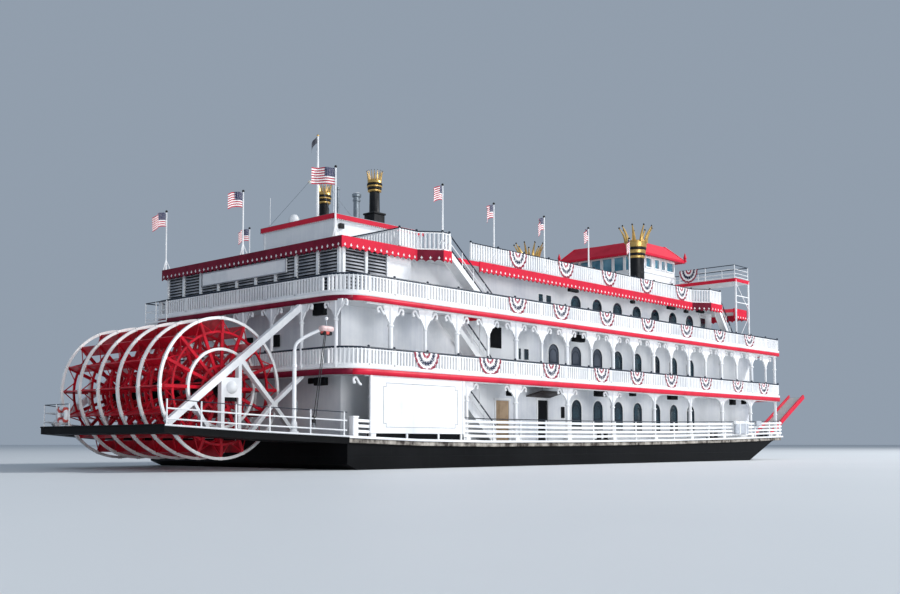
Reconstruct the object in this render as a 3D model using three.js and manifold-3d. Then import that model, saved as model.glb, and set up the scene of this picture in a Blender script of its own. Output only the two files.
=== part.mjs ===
// A stern-wheel paddle steamer with three decks, as a model at half the vessel's size.
// Sizes are in metres of the full-size vessel, and MODEL turns them to millimetres of the model.
// x runs forward from the fantail's aft edge, y runs to port and z up from the waterline.
import * as THREE from 'three';
import Module from 'manifold-3d';
import { mergeVertices } from 'three/addons/utils/BufferGeometryUtils.js';

const wasm = await Module();
wasm.setup();

// Scale
const MODEL = 500;
const GAP = 0.001;
const GRID = 2 ** -13;

// Hull and main deck
const DRAFT = 1.8;
const TRANSOM = 8.8;
const HULL_BOW = 58.6;
const HULL_HALF = 9.25;
const BILGE = 0.35;
const DECK_BOW = 58.85;
const DECK_HALF = 9.4;
const DECK_PLATE = 0.1;
const SHEER_STATIONS = [0, 4, TRANSOM, 14, 20, 30, 40, 50, DECK_BOW];
const SHEER_LOW = { x: 20, z: 1.52, aft: 0.0019, forward: 0.00032 };

// Fantail guard round the wheel
const GUARD_HALF_AFT = 6.15;
const GUARD_INNER = 5.15;
const GUARD_AFT_BAR = 0.8;
const GUARD_DEPTH = 0.4;

// Upper decks
const DECK_AFT = 8.5;
const DECK_FORWARD = 58.35;
const DECK_CORNER = 1.7;
const SLAB = 0.28;
const SECOND_DECK = 5.34;
const THIRD_DECK = 9.2;
const ROOF_DECK = 12.36;
const BRIDGE_DECK = 14.86;
const ROOF_HALF = 8.25;
const ROOF_AFT = 9.2;
const ROOF_FORWARD = 53.4;
const VALANCE = 0.05;
const VALANCE_AFT_DROP = 0.61;
const VALANCE_FORWARD_DROP = 0.66;

// Houses
const HOUSE_HALF = 6.9;
const HOUSE_AFT = 10.4;
const HOUSE_FORWARD = 57.8;
const TEXAS_FORWARD = 51.2;
const LOUVRE_ROOM = { aft: 9.5, forward: 14.7, starboard: 7.9, port: 8.6 };
const WALL = 0.15;
const BAY = 2.585;
const FIRST_COLUMN = 12.1;
const COLUMN_COUNT = 19;
const WINDOW_WIDTH = 1.2;
const FIRST_WINDOW = 29.5;
const WINDOW_COUNT = 8;

// Railings
const MAIN_RAIL = 1.3;
const RAIL_OUTER = 9.34;
const RAIL_INNER = 9.26;
const RAIL_HEIGHT = 1.1;
const COLUMN_LINE = 9.1;

// Wheel
const WHEEL_X = 4.1;
const WHEEL_Z = 4.2;
const WHEEL_RADIUS = 3.67;
const RING_DEPTH = 0.12;
const RING_WIDTH = 0.12;
const WHEEL_HALF = 4.85;
const FRAME_COUNT = 6;
const SPOKE_COUNT = 16;
const SHAFT_RADIUS = 0.22;
const BEARING_HOLE = 0.24;
const TRUSS_INNER = 5.45;
const TRUSS_OUTER = 5.75;

// Stairs along the promenades
const STAIR_INNER = 7.05;
const STAIR_OUTER = 8.05;
const STAIR_DEPTH = 0.3;
const RISE = 0.33;

const PAINT = {
  white: { color: 0xf4f4f1, roughness: 0.45 },
  red: { color: 0xb5182b, roughness: 0.4 },
  wheelRed: { color: 0x9c1120, roughness: 0.45 },
  black: { color: 0x15161a, roughness: 0.5 },
  grey: { color: 0x8f9494, roughness: 0.6 },
  deckGrey: { color: 0xa9adab, roughness: 0.7 },
  tan: { color: 0xb79a74, roughness: 0.5 },
  glass: { color: 0x2c5560, roughness: 0.1 },
};

const ship = new THREE.Group();

// Turns a three.js geometry into a solid with its faces pointing out. Corners are set on a fine grid,
// so that faces meant to lie in one plane do.
function solid(geometry) {
  geometry.deleteAttribute('normal');
  geometry.deleteAttribute('uv');
  geometry.attributes.position.array.forEach((value, i, values) => { values[i] = Math.round(value / GRID) * GRID; });
  const merged = mergeVertices(geometry, GRID / 2);
  const vertProperties = Float32Array.from(merged.attributes.position.array);
  const triVerts = Uint32Array.from(merged.index.array);
  const form = new wasm.Manifold(new wasm.Mesh({ numProp: 3, vertProperties, triVerts }));
  if (form.volume() > 0) return form;
  triVerts.reverse();
  return new wasm.Manifold(new wasm.Mesh({ numProp: 3, vertProperties, triVerts }));
}

function join(...forms) {
  return wasm.Manifold.union(forms.flat(Infinity));
}

function cut(form, ...cutters) {
  return form.subtract(join(cutters));
}

// Adds a named piece to the ship or to the group of a moving body.
function part(name, form, paint, parent = ship) {
  const { vertProperties, triVerts } = form.getMesh();
  const geometry = new THREE.BufferGeometry();
  geometry.setAttribute('position', new THREE.BufferAttribute(Float32Array.from(vertProperties), 3));
  geometry.setIndex(new THREE.BufferAttribute(Uint32Array.from(triVerts), 1));
  geometry.scale(MODEL, MODEL, MODEL);
  geometry.computeVertexNormals();
  const mesh = new THREE.Mesh(geometry, new THREE.MeshStandardMaterial(paint));
  mesh.name = name;
  parent.add(mesh);
}

// A moving body's group, whose origin is on its joint.
function body(x, y, z) {
  const group = new THREE.Group();
  group.position.set(x * MODEL, y * MODEL, z * MODEL);
  ship.add(group);
  return group;
}

function box(x0, x1, y0, y1, z0, z1, turn = 0) {
  const shape = new THREE.BoxGeometry(Math.abs(x1 - x0), Math.abs(y1 - y0), Math.abs(z1 - z0));
  shape.translate((x0 + x1) / 2, (y0 + y1) / 2, (z0 + z1) / 2);
  shape.rotateY(turn);
  return solid(shape);
}

function rod(from, to, radius, sides = 8) {
  const a = new THREE.Vector3(...from);
  const b = new THREE.Vector3(...to);
  const along = b.clone().sub(a);
  const shape = new THREE.CylinderGeometry(radius, radius, along.length(), sides);
  shape.applyQuaternion(new THREE.Quaternion().setFromUnitVectors(new THREE.Vector3(0, 1, 0), along.normalize()));
  shape.translate(...a.add(b).multiplyScalar(0.5));
  return solid(shape);
}

function path(points, radius, sides = 6) {
  return join(points.slice(1).map((point, i) => rod(points[i], point, radius, sides)));
}

function outline(points) {
  return points instanceof THREE.Shape ? points : new THREE.Shape(points.map((p) => new THREE.Vector2(...p)));
}

// An outline in x and z, as seen from the side, carried across from y0 to y1.
function sideForm(points, y0, y1) {
  const shape = new THREE.ExtrudeGeometry(outline(points), {
    depth: Math.abs(y1 - y0), bevelEnabled: false, curveSegments: 2,
  });
  shape.rotateX(Math.PI / 2);
  shape.translate(0, Math.max(y0, y1), 0);
  return solid(shape);
}

// An outline in x and y, as seen from above, carried up from z0 to z1.
function planForm(points, z0, z1) {
  const shape = new THREE.ExtrudeGeometry(outline(points), {
    depth: z1 - z0, bevelEnabled: false, curveSegments: 2,
  });
  shape.translate(0, 0, z0);
  return solid(shape);
}

// An outline in y and z, as seen from the bow, carried along from x0 to x1.
function crossForm(points, x0, x1) {
  const shape = new THREE.ExtrudeGeometry(outline(points), {
    depth: x1 - x0, bevelEnabled: false, curveSegments: 2,
  });
  const turn = new THREE.Matrix4().makeBasis(
    new THREE.Vector3(0, 1, 0), new THREE.Vector3(0, 0, 1), new THREE.Vector3(1, 0, 0));
  shape.applyMatrix4(turn);
  shape.translate(x0, 0, 0);
  return solid(shape);
}

// A profile of radius and height turned about an upright axis.
function turned(profile, x, y, segments = 16) {
  const shape = new THREE.LatheGeometry(profile.map((p) => new THREE.Vector2(...p)), segments);
  shape.rotateX(Math.PI / 2);
  shape.translate(x, y, 0);
  return solid(shape);
}

// A ring about an axis along y, for the wheel.
function wheelRing(outer, inner, y0, y1, segments) {
  const profile = [[inner, y0], [outer, y0], [outer, y1], [inner, y1], [inner, y0]];
  return solid(new THREE.LatheGeometry(profile.map((p) => new THREE.Vector2(...p)), segments));
}

// Height of the main deck, straight between its stations.
function deckHeight(x) {
  const curve = (s) => SHEER_LOW.z + (s < SHEER_LOW.x ? SHEER_LOW.aft : SHEER_LOW.forward) * (s - SHEER_LOW.x) ** 2;
  const last = SHEER_STATIONS.length - 2;
  const i = Math.min(last, Math.max(0, SHEER_STATIONS.findLastIndex((s) => s <= x)));
  const [s0, s1] = [SHEER_STATIONS[i], SHEER_STATIONS[i + 1]];
  return THREE.MathUtils.lerp(curve(s0), curve(s1), (x - s0) / (s1 - s0));
}

function stationsBetween(x0, x1) {
  return [x0, ...SHEER_STATIONS.filter((s) => s > x0 + 0.01 && s < x1 - 0.01), x1];
}

// A band that follows the main deck from x0 to x1, between two heights over it.
function sheerBand(x0, x1, low, high, y0, y1) {
  const stations = stationsBetween(x0, x1);
  const bottom = stations.map((s) => [s, deckHeight(s) + low]);
  const top = stations.map((s) => [s, deckHeight(s) + high]).reverse();
  return sideForm([...bottom, ...top], y0, y1);
}

const belowDeck = sheerBand(-2, 62, -5, GAP, -12, 12);

function onDeck(form) {
  return form.subtract(belowDeck);
}

// A straight bar between two points of the side view.
function bar(from, to, depth, y0, y1) {
  const along = new THREE.Vector2(to[0] - from[0], to[1] - from[1]).normalize();
  const [nx, nz] = [-along.y * depth / 2, along.x * depth / 2];
  return sideForm([
    [from[0] + nx, from[1] + nz], [to[0] + nx, to[1] + nz],
    [to[0] - nx, to[1] - nz], [from[0] - nx, from[1] - nz]], y0, y1);
}

const SIDES = [{ side: -1, label: 'starboard' }, { side: 1, label: 'port' }];

// Hull, with a bilge chamfer and raked ends
function hull() {
  const top = stationsBetween(TRANSOM, HULL_BOW).map((s) => [s, deckHeight(s) - DECK_PLATE - GAP]);
  const profile = [[TRANSOM, 0.3], ...top, [57, 1.55], [48.2, -DRAFT], [14, -DRAFT]];
  const section = [
    [-HULL_HALF, 4], [-HULL_HALF, -DRAFT + BILGE], [-HULL_HALF + BILGE, -DRAFT],
    [HULL_HALF - BILGE, -DRAFT], [HULL_HALF, -DRAFT + BILGE], [HULL_HALF, 4]];
  return sideForm(profile, -HULL_HALF, HULL_HALF).intersect(crossForm(section, TRANSOM - 1, HULL_BOW + 1));
}

// Stage hinge, at the starboard side of the bow
const STAGE = { x: 59.1, y: -7.5, z: 2.12, half: 0.75, length: 7.6, raised: 27, pin: 0.05 };

function mainDeck() {
  const plate = sheerBand(TRANSOM, DECK_BOW, -DECK_PLATE, 0, -DECK_HALF, DECK_HALF);
  const lugs = [-1, 1].map((end) => {
    const middle = STAGE.y + end * (STAGE.half + 0.12);
    return box(58.5, 59.25, middle - 0.06, middle + 0.06, 1.92, 2.26);
  });
  const holes = rod([STAGE.x, STAGE.y - 1.2, STAGE.z], [STAGE.x, STAGE.y + 1.2, STAGE.z], STAGE.pin + 0.012, 12);
  return cut(join(plate, lugs), holes);
}

function fantailGuard() {
  const outer = [[0, -GUARD_HALF_AFT], [TRANSOM - GAP, -DECK_HALF], [TRANSOM - GAP, DECK_HALF], [0, GUARD_HALF_AFT]];
  const band = sheerBand(0, TRANSOM - GAP, -GUARD_DEPTH, 0, -DECK_HALF, DECK_HALF);
  const well = box(GUARD_AFT_BAR, TRANSOM + 1, -GUARD_INNER, GUARD_INNER, 0, 4);
  return cut(planForm(outer, 0, 4).intersect(band), well);
}

part('hull', hull(), PAINT.black);
part('main_deck', mainDeck(), PAINT.deckGrey);
part('fantail_guard', fantailGuard(), PAINT.black);

// Rudders ahead of the wheel, under the raked stern
const RUDDER = { x: 10, y: 3, aft: 1, forward: 0.6, top: -0.5, bottom: -1.74, thick: 0.12, stock: 0.1 };
for (const { side, label } of SIDES) {
  const rudder = body(RUDDER.x, side * RUDDER.y, 0);
  const rake = 0.3 - (RUDDER.x + RUDDER.stock - TRANSOM) * (0.3 + DRAFT) / (14 - TRANSOM);
  const blade = box(-RUDDER.aft, RUDDER.forward, -RUDDER.thick / 2, RUDDER.thick / 2, RUDDER.bottom, RUDDER.top);
  const stock = rod([0, 0, RUDDER.top - 0.2], [0, 0, rake - 0.015], RUDDER.stock, 10);
  part(`rudder_${label}`, join(blade, stock), PAINT.black, rudder);
}

// Deck slabs, with the wells that the stairs pass through
const WELL = { aft: 17.7, forward: 21, inner: 6.98, outer: 8.12 };

function deckOutline(half, aft, forward, radius) {
  const shape = new THREE.Shape();
  shape.moveTo(forward, -half);
  shape.lineTo(forward, half);
  shape.lineTo(aft + radius, half);
  shape.absarc(aft + radius, half - radius, radius, Math.PI / 2, Math.PI, false);
  shape.absarc(aft + radius, -half + radius, radius, Math.PI, Math.PI * 1.5, false);
  return shape;
}

function deckSlab(top) {
  const wells = SIDES.map(({ side }) => box(WELL.aft, WELL.forward, side * WELL.inner, side * WELL.outer, top - 1, top + 1));
  return cut(planForm(deckOutline(DECK_HALF, DECK_AFT, DECK_FORWARD, DECK_CORNER), top - SLAB, top), wells);
}

// Roof deck, with a landing that stands out at the head of each outer flight
const ROOF_PORT = 8.9;
const LANDING = { half: 9.2, aft: [14.93, 16.1, 16.8], forward: [45.73, 46.97, 48.75] };
const ROOF_BOW = { aft: 51.2, half: 8.95 };
const VALANCE_RESTART = 20.34;
const STERN_POLES = [-7.61, 0.58, 8.7];
const POLE_TOP = 16.2;
const POLE_RADIUS = 0.055;

function roofOutline(side, aftHalf) {
  const [a0, a1, a2] = LANDING.aft;
  const [f0, f1, f2] = LANDING.forward;
  return [
    [ROOF_AFT, aftHalf], [a0, aftHalf], [a1, LANDING.half], [a2, LANDING.half], [a2, ROOF_HALF],
    [f0, ROOF_HALF], [f1, LANDING.half], [f2, LANDING.half], [f2, ROOF_HALF],
    [ROOF_BOW.aft, ROOF_HALF], [ROOF_BOW.aft, ROOF_BOW.half], [ROOF_FORWARD, ROOF_BOW.half],
  ].map(([x, y]) => [x, side * y]);
}

// Hanging boards along the roof's edge: their line and how far they hang
function valances() {
  const half = VALANCE / 2;
  const [landing, edge] = [LANDING.half - half, ROOF_HALF - half];
  const [a0, a1, a2] = LANDING.aft;
  const [f0, f1, f2] = LANDING.forward;
  const stern = [
    [a2, -landing], [a1, -landing], [a0, -edge], [ROOF_AFT + half, -edge],
    [ROOF_AFT + half, ROOF_PORT - half], [a0, ROOF_PORT - half], [a1, landing], [a2, landing]];
  const bow = [
    [ROOF_BOW.aft, -ROOF_BOW.half + half], [ROOF_FORWARD - half, -ROOF_BOW.half + half],
    [ROOF_FORWARD - half, ROOF_BOW.half - half], [ROOF_BOW.aft, ROOF_BOW.half - half]];
  const sides = SIDES.map(({ side }) => [
    [VALANCE_RESTART, side * edge], [f0, side * edge], [f1, side * landing], [f2, side * landing]]);
  return [
    ribbon(stern, ROOF_DECK - VALANCE_AFT_DROP, ROOF_DECK - SLAB / 2, half),
    ...[...sides, bow].map((line) => ribbon(line, ROOF_DECK - VALANCE_FORWARD_DROP, ROOF_DECK - SLAB / 2, half))];
}

function roofDeck() {
  const starboard = roofOutline(-1, ROOF_HALF);
  const plate = planForm([...starboard, ...roofOutline(1, ROOF_PORT).reverse()], ROOF_DECK - SLAB, ROOF_DECK);
  const poles = STERN_POLES.map((y) => rod([ROOF_AFT + 0.12, y, ROOF_DECK - 0.1], [ROOF_AFT + 0.12, y, POLE_TOP], POLE_RADIUS, 8));
  return join(plate, valances(), poles);
}

part('second_deck', deckSlab(SECOND_DECK), PAINT.red);
part('third_deck', deckSlab(THIRD_DECK), PAINT.red);
part('roof_deck', roofDeck(), PAINT.red);

// Arched window, as an opening through both side walls
function archWindow(x, sill, top, width = WINDOW_WIDTH) {
  const shape = new THREE.Shape();
  const radius = width / 2;
  shape.moveTo(x - radius, sill);
  shape.lineTo(x + radius, sill);
  shape.lineTo(x + radius, top - radius);
  shape.absarc(x, top - radius, radius, 0, Math.PI, false);
  return sideForm(shape, -HOUSE_HALF - 1, HOUSE_HALF + 1);
}

function houseShell(aft, forward, low, high) {
  const outer = box(aft, forward, -HOUSE_HALF, HOUSE_HALF, low, high);
  return cut(outer, box(aft + WALL, forward - WALL, -HOUSE_HALF + WALL, HOUSE_HALF - WALL, low - 1, high + 1));
}

function windowRow(first, count, sill, top) {
  return Array.from({ length: count }, (_, i) => archWindow(first + BAY * i, sill, top));
}

function throughBox(x0, x1, z0, z1) {
  return box(x0, x1, -HOUSE_HALF - 1, HOUSE_HALF + 1, z0, z1);
}

// Doorways: aft edge, forward edge and top
const MAIN_DOOR = { aft: 23.4, forward: 24.7, top: 4.1 };
const MAIN_DOORWAY = { aft: 27.7, forward: 28.8, top: 4.24 };
const TEXAS_DOOR = { aft: 49.25, forward: 50.25, top: 11.8 };
const BOW_DOORWAY = { half: 0.9, height: 2.2 };

function bowDoorway(forward, low) {
  return box(forward - 1, forward + 1, -BOW_DOORWAY.half, BOW_DOORWAY.half, low, low + BOW_DOORWAY.height);
}

part('main_house', cut(
  onDeck(houseShell(HOUSE_AFT, HOUSE_FORWARD, 0, SECOND_DECK - SLAB - GAP)),
  windowRow(FIRST_WINDOW + BAY, WINDOW_COUNT - 1, 2.3, 4.4),
  throughBox(MAIN_DOOR.aft, MAIN_DOOR.forward, 0, MAIN_DOOR.top),
  throughBox(MAIN_DOORWAY.aft, MAIN_DOORWAY.forward, 0, MAIN_DOORWAY.top),
  bowDoorway(HOUSE_FORWARD, 1.9)), PAINT.white);
part('saloon_house', cut(
  houseShell(HOUSE_AFT, HOUSE_FORWARD, SECOND_DECK + GAP, THIRD_DECK - SLAB - GAP),
  windowRow(FIRST_WINDOW, WINDOW_COUNT, 6.1, 8.1),
  bowDoorway(HOUSE_FORWARD, SECOND_DECK)), PAINT.white);
part('texas_house', cut(
  houseShell(LOUVRE_ROOM.forward, TEXAS_FORWARD, THIRD_DECK + GAP, ROOF_DECK - SLAB - GAP),
  windowRow(FIRST_WINDOW + BAY, WINDOW_COUNT - 1, 10, 11.65),
  throughBox(TEXAS_DOOR.aft, TEXAS_DOOR.forward, 9, TEXAS_DOOR.top),
  bowDoorway(TEXAS_FORWARD, THIRD_DECK)), PAINT.white);

// Louvred room at the aft end of the third deck, wider than the house: bays with slots between their slats,
// and plain walls at its forward bay
const LOUVRE = { bays: 9, sideBay: 1.73, first: 9.7, pitch: 0.6, count: 4, gap: 0.22, deep: 0.06, postHalf: 0.09 };

function louvreRoom() {
  const { aft, starboard, port } = LOUVRE_ROOM;
  const forward = LOUVRE_ROOM.forward - GAP;
  const shell = cut(
    box(aft, forward, -starboard, port, THIRD_DECK + GAP, ROOF_DECK - SLAB - GAP),
    box(aft + WALL, forward - WALL, -starboard + WALL, port - WALL, THIRD_DECK - 1, ROOF_DECK + 1));
  const { deep, postHalf } = LOUVRE;
  const line = (i) => THREE.MathUtils.lerp(-starboard + postHalf, port - postHalf, i / LOUVRE.bays);
  const slots = Array.from({ length: LOUVRE.count }, (_, i) => LOUVRE.first + LOUVRE.pitch * i).flatMap((z) => [
    ...Array.from({ length: LOUVRE.bays }, (_, i) => (
      box(aft - 1, aft + deep, line(i) + postHalf, line(i + 1) - postHalf, z, z + LOUVRE.gap))),
    ...[0, 1].flatMap((i) => [[-starboard - 1, -starboard + deep], [port - deep, port + 1]].map(([y0, y1]) => (
      box(aft + LOUVRE.sideBay * i + 2 * postHalf, aft + LOUVRE.sideBay * (i + 1), y0, y1, z, z + LOUVRE.gap))))]);
  return cut(shell, slots);
}
part('louvre_room', louvreRoom(), PAINT.grey);

// Bracket arms on both sides of a column, from a concave curve under the deck down to the column
const ARM_STEPS = [0, 0.45, 1];

function bracket({ x, reach, drop }, y, high) {
  const curve = ARM_STEPS.map((share) => {
    const angle = Math.PI / 2 * share;
    return [reach * (1 - Math.cos(angle)), high - 0.1 - drop * (1 - Math.sin(angle))];
  });
  const right = curve.map(([dx, z]) => [x + dx, z]);
  const left = curve.map(([dx, z]) => [x - dx, z]).reverse();
  return sideForm([...right, ...left.slice(0, -1)], y - 0.04, y + 0.04);
}

// Columns hang from a girder under the deck above and stand on the deck below.
function columnRow(side, stations, low, high, girderAft, girderForward) {
  const y = side * COLUMN_LINE;
  const girder = box(girderAft, girderForward, y - 0.1, y + 0.1, high - 0.14, high);
  const posts = stations.map(({ x, radius }) => rod([x, y, low], [x, y, high - 0.05], radius, 6));
  const brackets = stations.filter(({ reach }) => reach > 0).map((station) => bracket(station, y, high));
  return join(girder, posts, brackets);
}

const MAIN_COLUMNS = [
  { x: 10.6, reach: 0 }, ...[18.3, 23, 28.2].map((x) => ({ x, reach: 0.9, drop: 0.9 })),
  ...[33.4, 38.7, 43.7, 48.7, 53.5].map((x) => ({ x, reach: 1.2, drop: 1 })), { x: 58.05, reach: 0 }];
const upperColumns = Array.from({ length: COLUMN_COUNT }, (_, k) => ({
  x: Math.min(FIRST_COLUMN + BAY * k, 58.05),
  radius: k % 2 ? 0.075 : 0.115,
  reach: 0.85,
  drop: 0.9,
}));
for (const { side, label } of SIDES) {
  const mainColumns = MAIN_COLUMNS.map((column) => ({ ...column, radius: 0.12 }));
  part(`columns_main_${label}`, onDeck(columnRow(side, mainColumns, 0, SECOND_DECK - SLAB - GAP, 10.2, 58.3)), PAINT.white);
  const upper = upperColumns.map((column) => ({ ...column, reach: column.x > 58 ? 0 : column.reach }));
  part(`columns_second_${label}`, columnRow(side, upper, SECOND_DECK + GAP, THIRD_DECK - SLAB - GAP, 10.2, 58.3), PAINT.white);
}

// A ribbon of even width along a line of points in plan, mitred at its bends
const RIBBON = 0.04;
const KERB = 0.12;
const HANDRAIL = 0.08;
const POST = 0.03;

function ribbon(points, z0, z1, half = RIBBON) {
  const at = (i) => new THREE.Vector2(...points[THREE.MathUtils.clamp(i, 0, points.length - 1)]);
  const normal = (i) => {
    const along = at(i + 1).sub(at(i)).normalize();
    return new THREE.Vector2(-along.y, along.x);
  };
  const edge = (side) => points.map((_, i) => {
    const [before, after] = [normal(Math.max(0, i - 1)), normal(Math.min(points.length - 2, i))];
    const mitre = before.clone().add(after).multiplyScalar(side * half / (1 + before.dot(after)));
    return at(i).add(mitre).toArray();
  });
  return planForm([...edge(1), ...edge(-1).reverse()], z0, z1);
}

// Points about one pitch apart along a line of points, with its bends where they are that far apart
function spaced(points, pitch) {
  const places = [points[0]];
  for (let i = 1; i < points.length; i += 1) {
    const [from, to] = [points[i - 1], points[i]];
    const length = Math.hypot(to[0] - from[0], to[1] - from[1]);
    const count = Math.round(length / pitch);
    for (let k = 1; k <= count; k += 1) {
      places.push([0, 1].map((axis) => THREE.MathUtils.lerp(from[axis], to[axis], k / count)));
    }
  }
  return places;
}

function post([x, y], z0, z1) {
  return box(x - POST, x + POST, y - POST, y + POST, z0, z1);
}

// A railing on a level deck: kerb, handrail and posts
function railing(points, base, pitch) {
  const top = base + RAIL_HEIGHT;
  const posts = spaced(points, pitch).slice(1, -1).map((place) => post(place, base + KERB / 2, top - HANDRAIL / 2));
  const [first, last] = [points[0], points.at(-1)];
  const inward = (end, next) => [0, 1].map((axis) => end[axis] + 2 * RIBBON * Math.sign(next[axis] - end[axis]));
  const ends = [inward(first, points[1]), inward(last, points.at(-2))]
    .map((place) => post(place, base + KERB / 2, top - HANDRAIL / 2));
  return join(ribbon(points, base + GAP, base + KERB), ribbon(points, top - HANDRAIL, top), posts, ends);
}

// Main deck railing: four boards on posts, with a blank panel at its aft end on each side
const BOARDS = [0.2, 0.48, 0.76, 1.04];
const PANEL = { aft: 10.3, forward: 17.7, low: 0.32, top: 5 };
const BOX_POST = { aft: 9.08, forward: 9.46, deep: 0.3, top: 2.8 };
for (const { side, label } of SIDES) {
  const [inner, outer] = [side * RAIL_INNER, side * RAIL_OUTER];
  const aft = PANEL.forward - 0.1;
  const boards = BOARDS.map((z) => sheerBand(aft, DECK_BOW - 0.1, z, z + 0.14, inner, outer));
  const handrail = sheerBand(aft, DECK_BOW - 0.1, MAIN_RAIL - 0.07, MAIN_RAIL, inner - side * 0.03, outer + side * 0.02);
  const posts = Array.from({ length: 5 }, (_, i) => {
    const x = Math.min(18.15 + 4 * BAY * i, DECK_BOW - 0.22);
    return box(x - 0.06, x + 0.06, inner - side * 0.04, inner + side * 0.02, 0, deckHeight(x) + MAIN_RAIL - 0.03);
  });
  const panel = box(PANEL.aft, PANEL.forward, inner, outer, deckHeight(14) + PANEL.low, PANEL.top);
  const feet = [PANEL.aft + 0.2, 13.1, 15.6, PANEL.forward - 0.2].map((x) => box(x - 0.05, x + 0.05, inner, outer - side * 0.01, 0, 2.2));
  const shortBoards = BOARDS.slice(0, 3).map((z) => sheerBand(BOX_POST.aft + 0.1, PANEL.aft + 0.1, z, z + 0.14, inner, outer));
  const boxPost = box(BOX_POST.aft, BOX_POST.forward, outer, inner - side * BOX_POST.deep, 0, BOX_POST.top);
  part(`rail_main_${label}`, onDeck(join(boards, handrail, posts, panel, feet, shortBoards, boxPost)), PAINT.white);
}

// Bow railing, with a gate at the stage
function bowRail() {
  const [aft, forward] = [DECK_BOW - 0.09, DECK_BOW - 0.01];
  const top = deckHeight(DECK_BOW) + MAIN_RAIL;
  const base = deckHeight(DECK_BOW);
  const gate = STAGE.y + STAGE.half + 0.3;
  const end = RAIL_INNER - 0.04;
  const boards = BOARDS.map((z) => box(aft, forward, gate, end, base + z, base + z + 0.14));
  const handrail = box(aft - 0.03, forward, gate, end, top - 0.07, top);
  const posts = Array.from({ length: 4 }, (_, i) => {
    const y = gate + 0.06 + i * (end - gate - 0.12) / 3;
    return box(aft - 0.04, aft + 0.02, y - 0.06, y + 0.06, 0, top - 0.03);
  });
  return onDeck(join(boards, handrail, posts));
}
part('rail_main_bow', bowRail(), PAINT.white);

// Pipe rails of the fantail, following the guard's tapered edge
for (const { side, label } of SIDES) {
  const edge = (x) => side * (GUARD_HALF_AFT - 0.12 + (DECK_HALF - GUARD_HALF_AFT) * x / TRANSOM);
  const line = [[0.15, side * (GUARD_INNER + 0.05)], [0.15, edge(0.15)], [TRANSOM - 0.2, edge(TRANSOM - 0.2)]];
  const bars = [0.26, 0.76, 1.19].map((low) => ribbon(line, 0, 6).intersect(sheerBand(-1, TRANSOM + 1, low, low + 0.07, -10, 10)));
  const posts = spaced(line, 1.6).slice(1, -1).map((place) => post(place, 0, deckHeight(place[0]) + 1.22));
  const ends = [[0.15, side * (GUARD_INNER + 0.1)], [TRANSOM - 0.26, edge(TRANSOM - 0.26)]]
    .map((place) => post(place, 0, deckHeight(place[0]) + 1.22));
  part(`rail_fantail_${label}`, onDeck(join(bars, posts, ends)), PAINT.white);
}

// Balustrades of the upper decks, split into straight sides, a straight bow end and a round-cornered stern end
function balustrade(deck, withColumns) {
  const line = (RAIL_OUTER + RAIL_INNER) / 2;
  const [aft, forward] = [DECK_AFT + 0.1, DECK_FORWARD - 0.1];
  const sideAft = DECK_AFT + DECK_CORNER;
  const radius = sideAft - aft;
  const corner = [0, 30, 60, 90].map((degrees) => {
    const angle = THREE.MathUtils.degToRad(degrees);
    return [sideAft - radius * Math.sin(angle), line - radius + radius * Math.cos(angle)];
  });
  const stern = [...corner.map(([x, y]) => [x, -y]), ...corner.reverse()];
  const columns = (x, reach, count) => Array.from({ length: withColumns ? count : 0 }, (_, i) => {
    const y = THREE.MathUtils.lerp(-reach, reach, i / (count - 1));
    return box(x - 0.07, x + 0.07, y - 0.07, y + 0.07, deck + GAP, THIRD_DECK - SLAB - GAP);
  });
  const side = (sign) => railing([[sideAft + 0.05, sign * line], [forward - RIBBON - GAP, sign * line]], deck, 2 * BAY);
  return {
    aft: join(railing(stern, deck, BAY), columns(aft, 7.3, 7)),
    forward: join(railing([[forward, -line - RIBBON], [forward, line + RIBBON]], deck, BAY), columns(forward, 6.2, 5)),
    starboard: side(-1),
    port: side(1),
  };
}
const secondRails = balustrade(SECOND_DECK, true);
const thirdRails = balustrade(THIRD_DECK, false);
for (const [place, form] of Object.entries(secondRails)) part(`balustrade_second_${place}`, form, PAINT.white);
for (const [place, form] of Object.entries(thirdRails)) part(`balustrade_third_${place}`, form, PAINT.white);

// Roof railings, with the flagpoles that stand in them
const ROOF_RAIL_LINE = ROOF_HALF - 0.1;
const SIDE_POLES = [21.8, 26.9, 31.9, 37];

function roofRun(points, poles) {
  const flagpoles = poles.map(([x, y]) => rod([x, y, ROOF_DECK + KERB / 2], [x, y, POLE_TOP], POLE_RADIUS, 8));
  return join(railing(points, ROOF_DECK, 2 * BAY), flagpoles);
}
const LANDING_RAIL = LANDING.half - 0.1;
const HOUSE_KERB = { x: 12.75, y: 3.5 };
const ROOF_RAIL_AFT = 13.6;
const ROOF_RAIL_RESTART = 19.64;

// The aft rails meet behind the roof house in a kerb alone.
function roofRailAft() {
  const wings = SIDES.map(({ side }) => roofRun([
    [ROOF_RAIL_AFT, side * HOUSE_KERB.y], [ROOF_RAIL_AFT, side * ROOF_RAIL_LINE], [LANDING.aft[0] + 0.04, side * ROOF_RAIL_LINE],
    [LANDING.aft[1] + 0.03, side * LANDING_RAIL], [LANDING.aft[2] - 0.1, side * LANDING_RAIL]],
  [[LANDING.aft[1] + 0.03, side * LANDING_RAIL]]));
  const kerb = ribbon([
    [ROOF_RAIL_AFT + RIBBON, -HOUSE_KERB.y], [HOUSE_KERB.x, -HOUSE_KERB.y], [HOUSE_KERB.x, HOUSE_KERB.y],
    [ROOF_RAIL_AFT + RIBBON, HOUSE_KERB.y]], ROOF_DECK + GAP, ROOF_DECK + KERB);
  return join(wings, kerb);
}
part('roof_rail_aft', roofRailAft(), PAINT.white);
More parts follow.
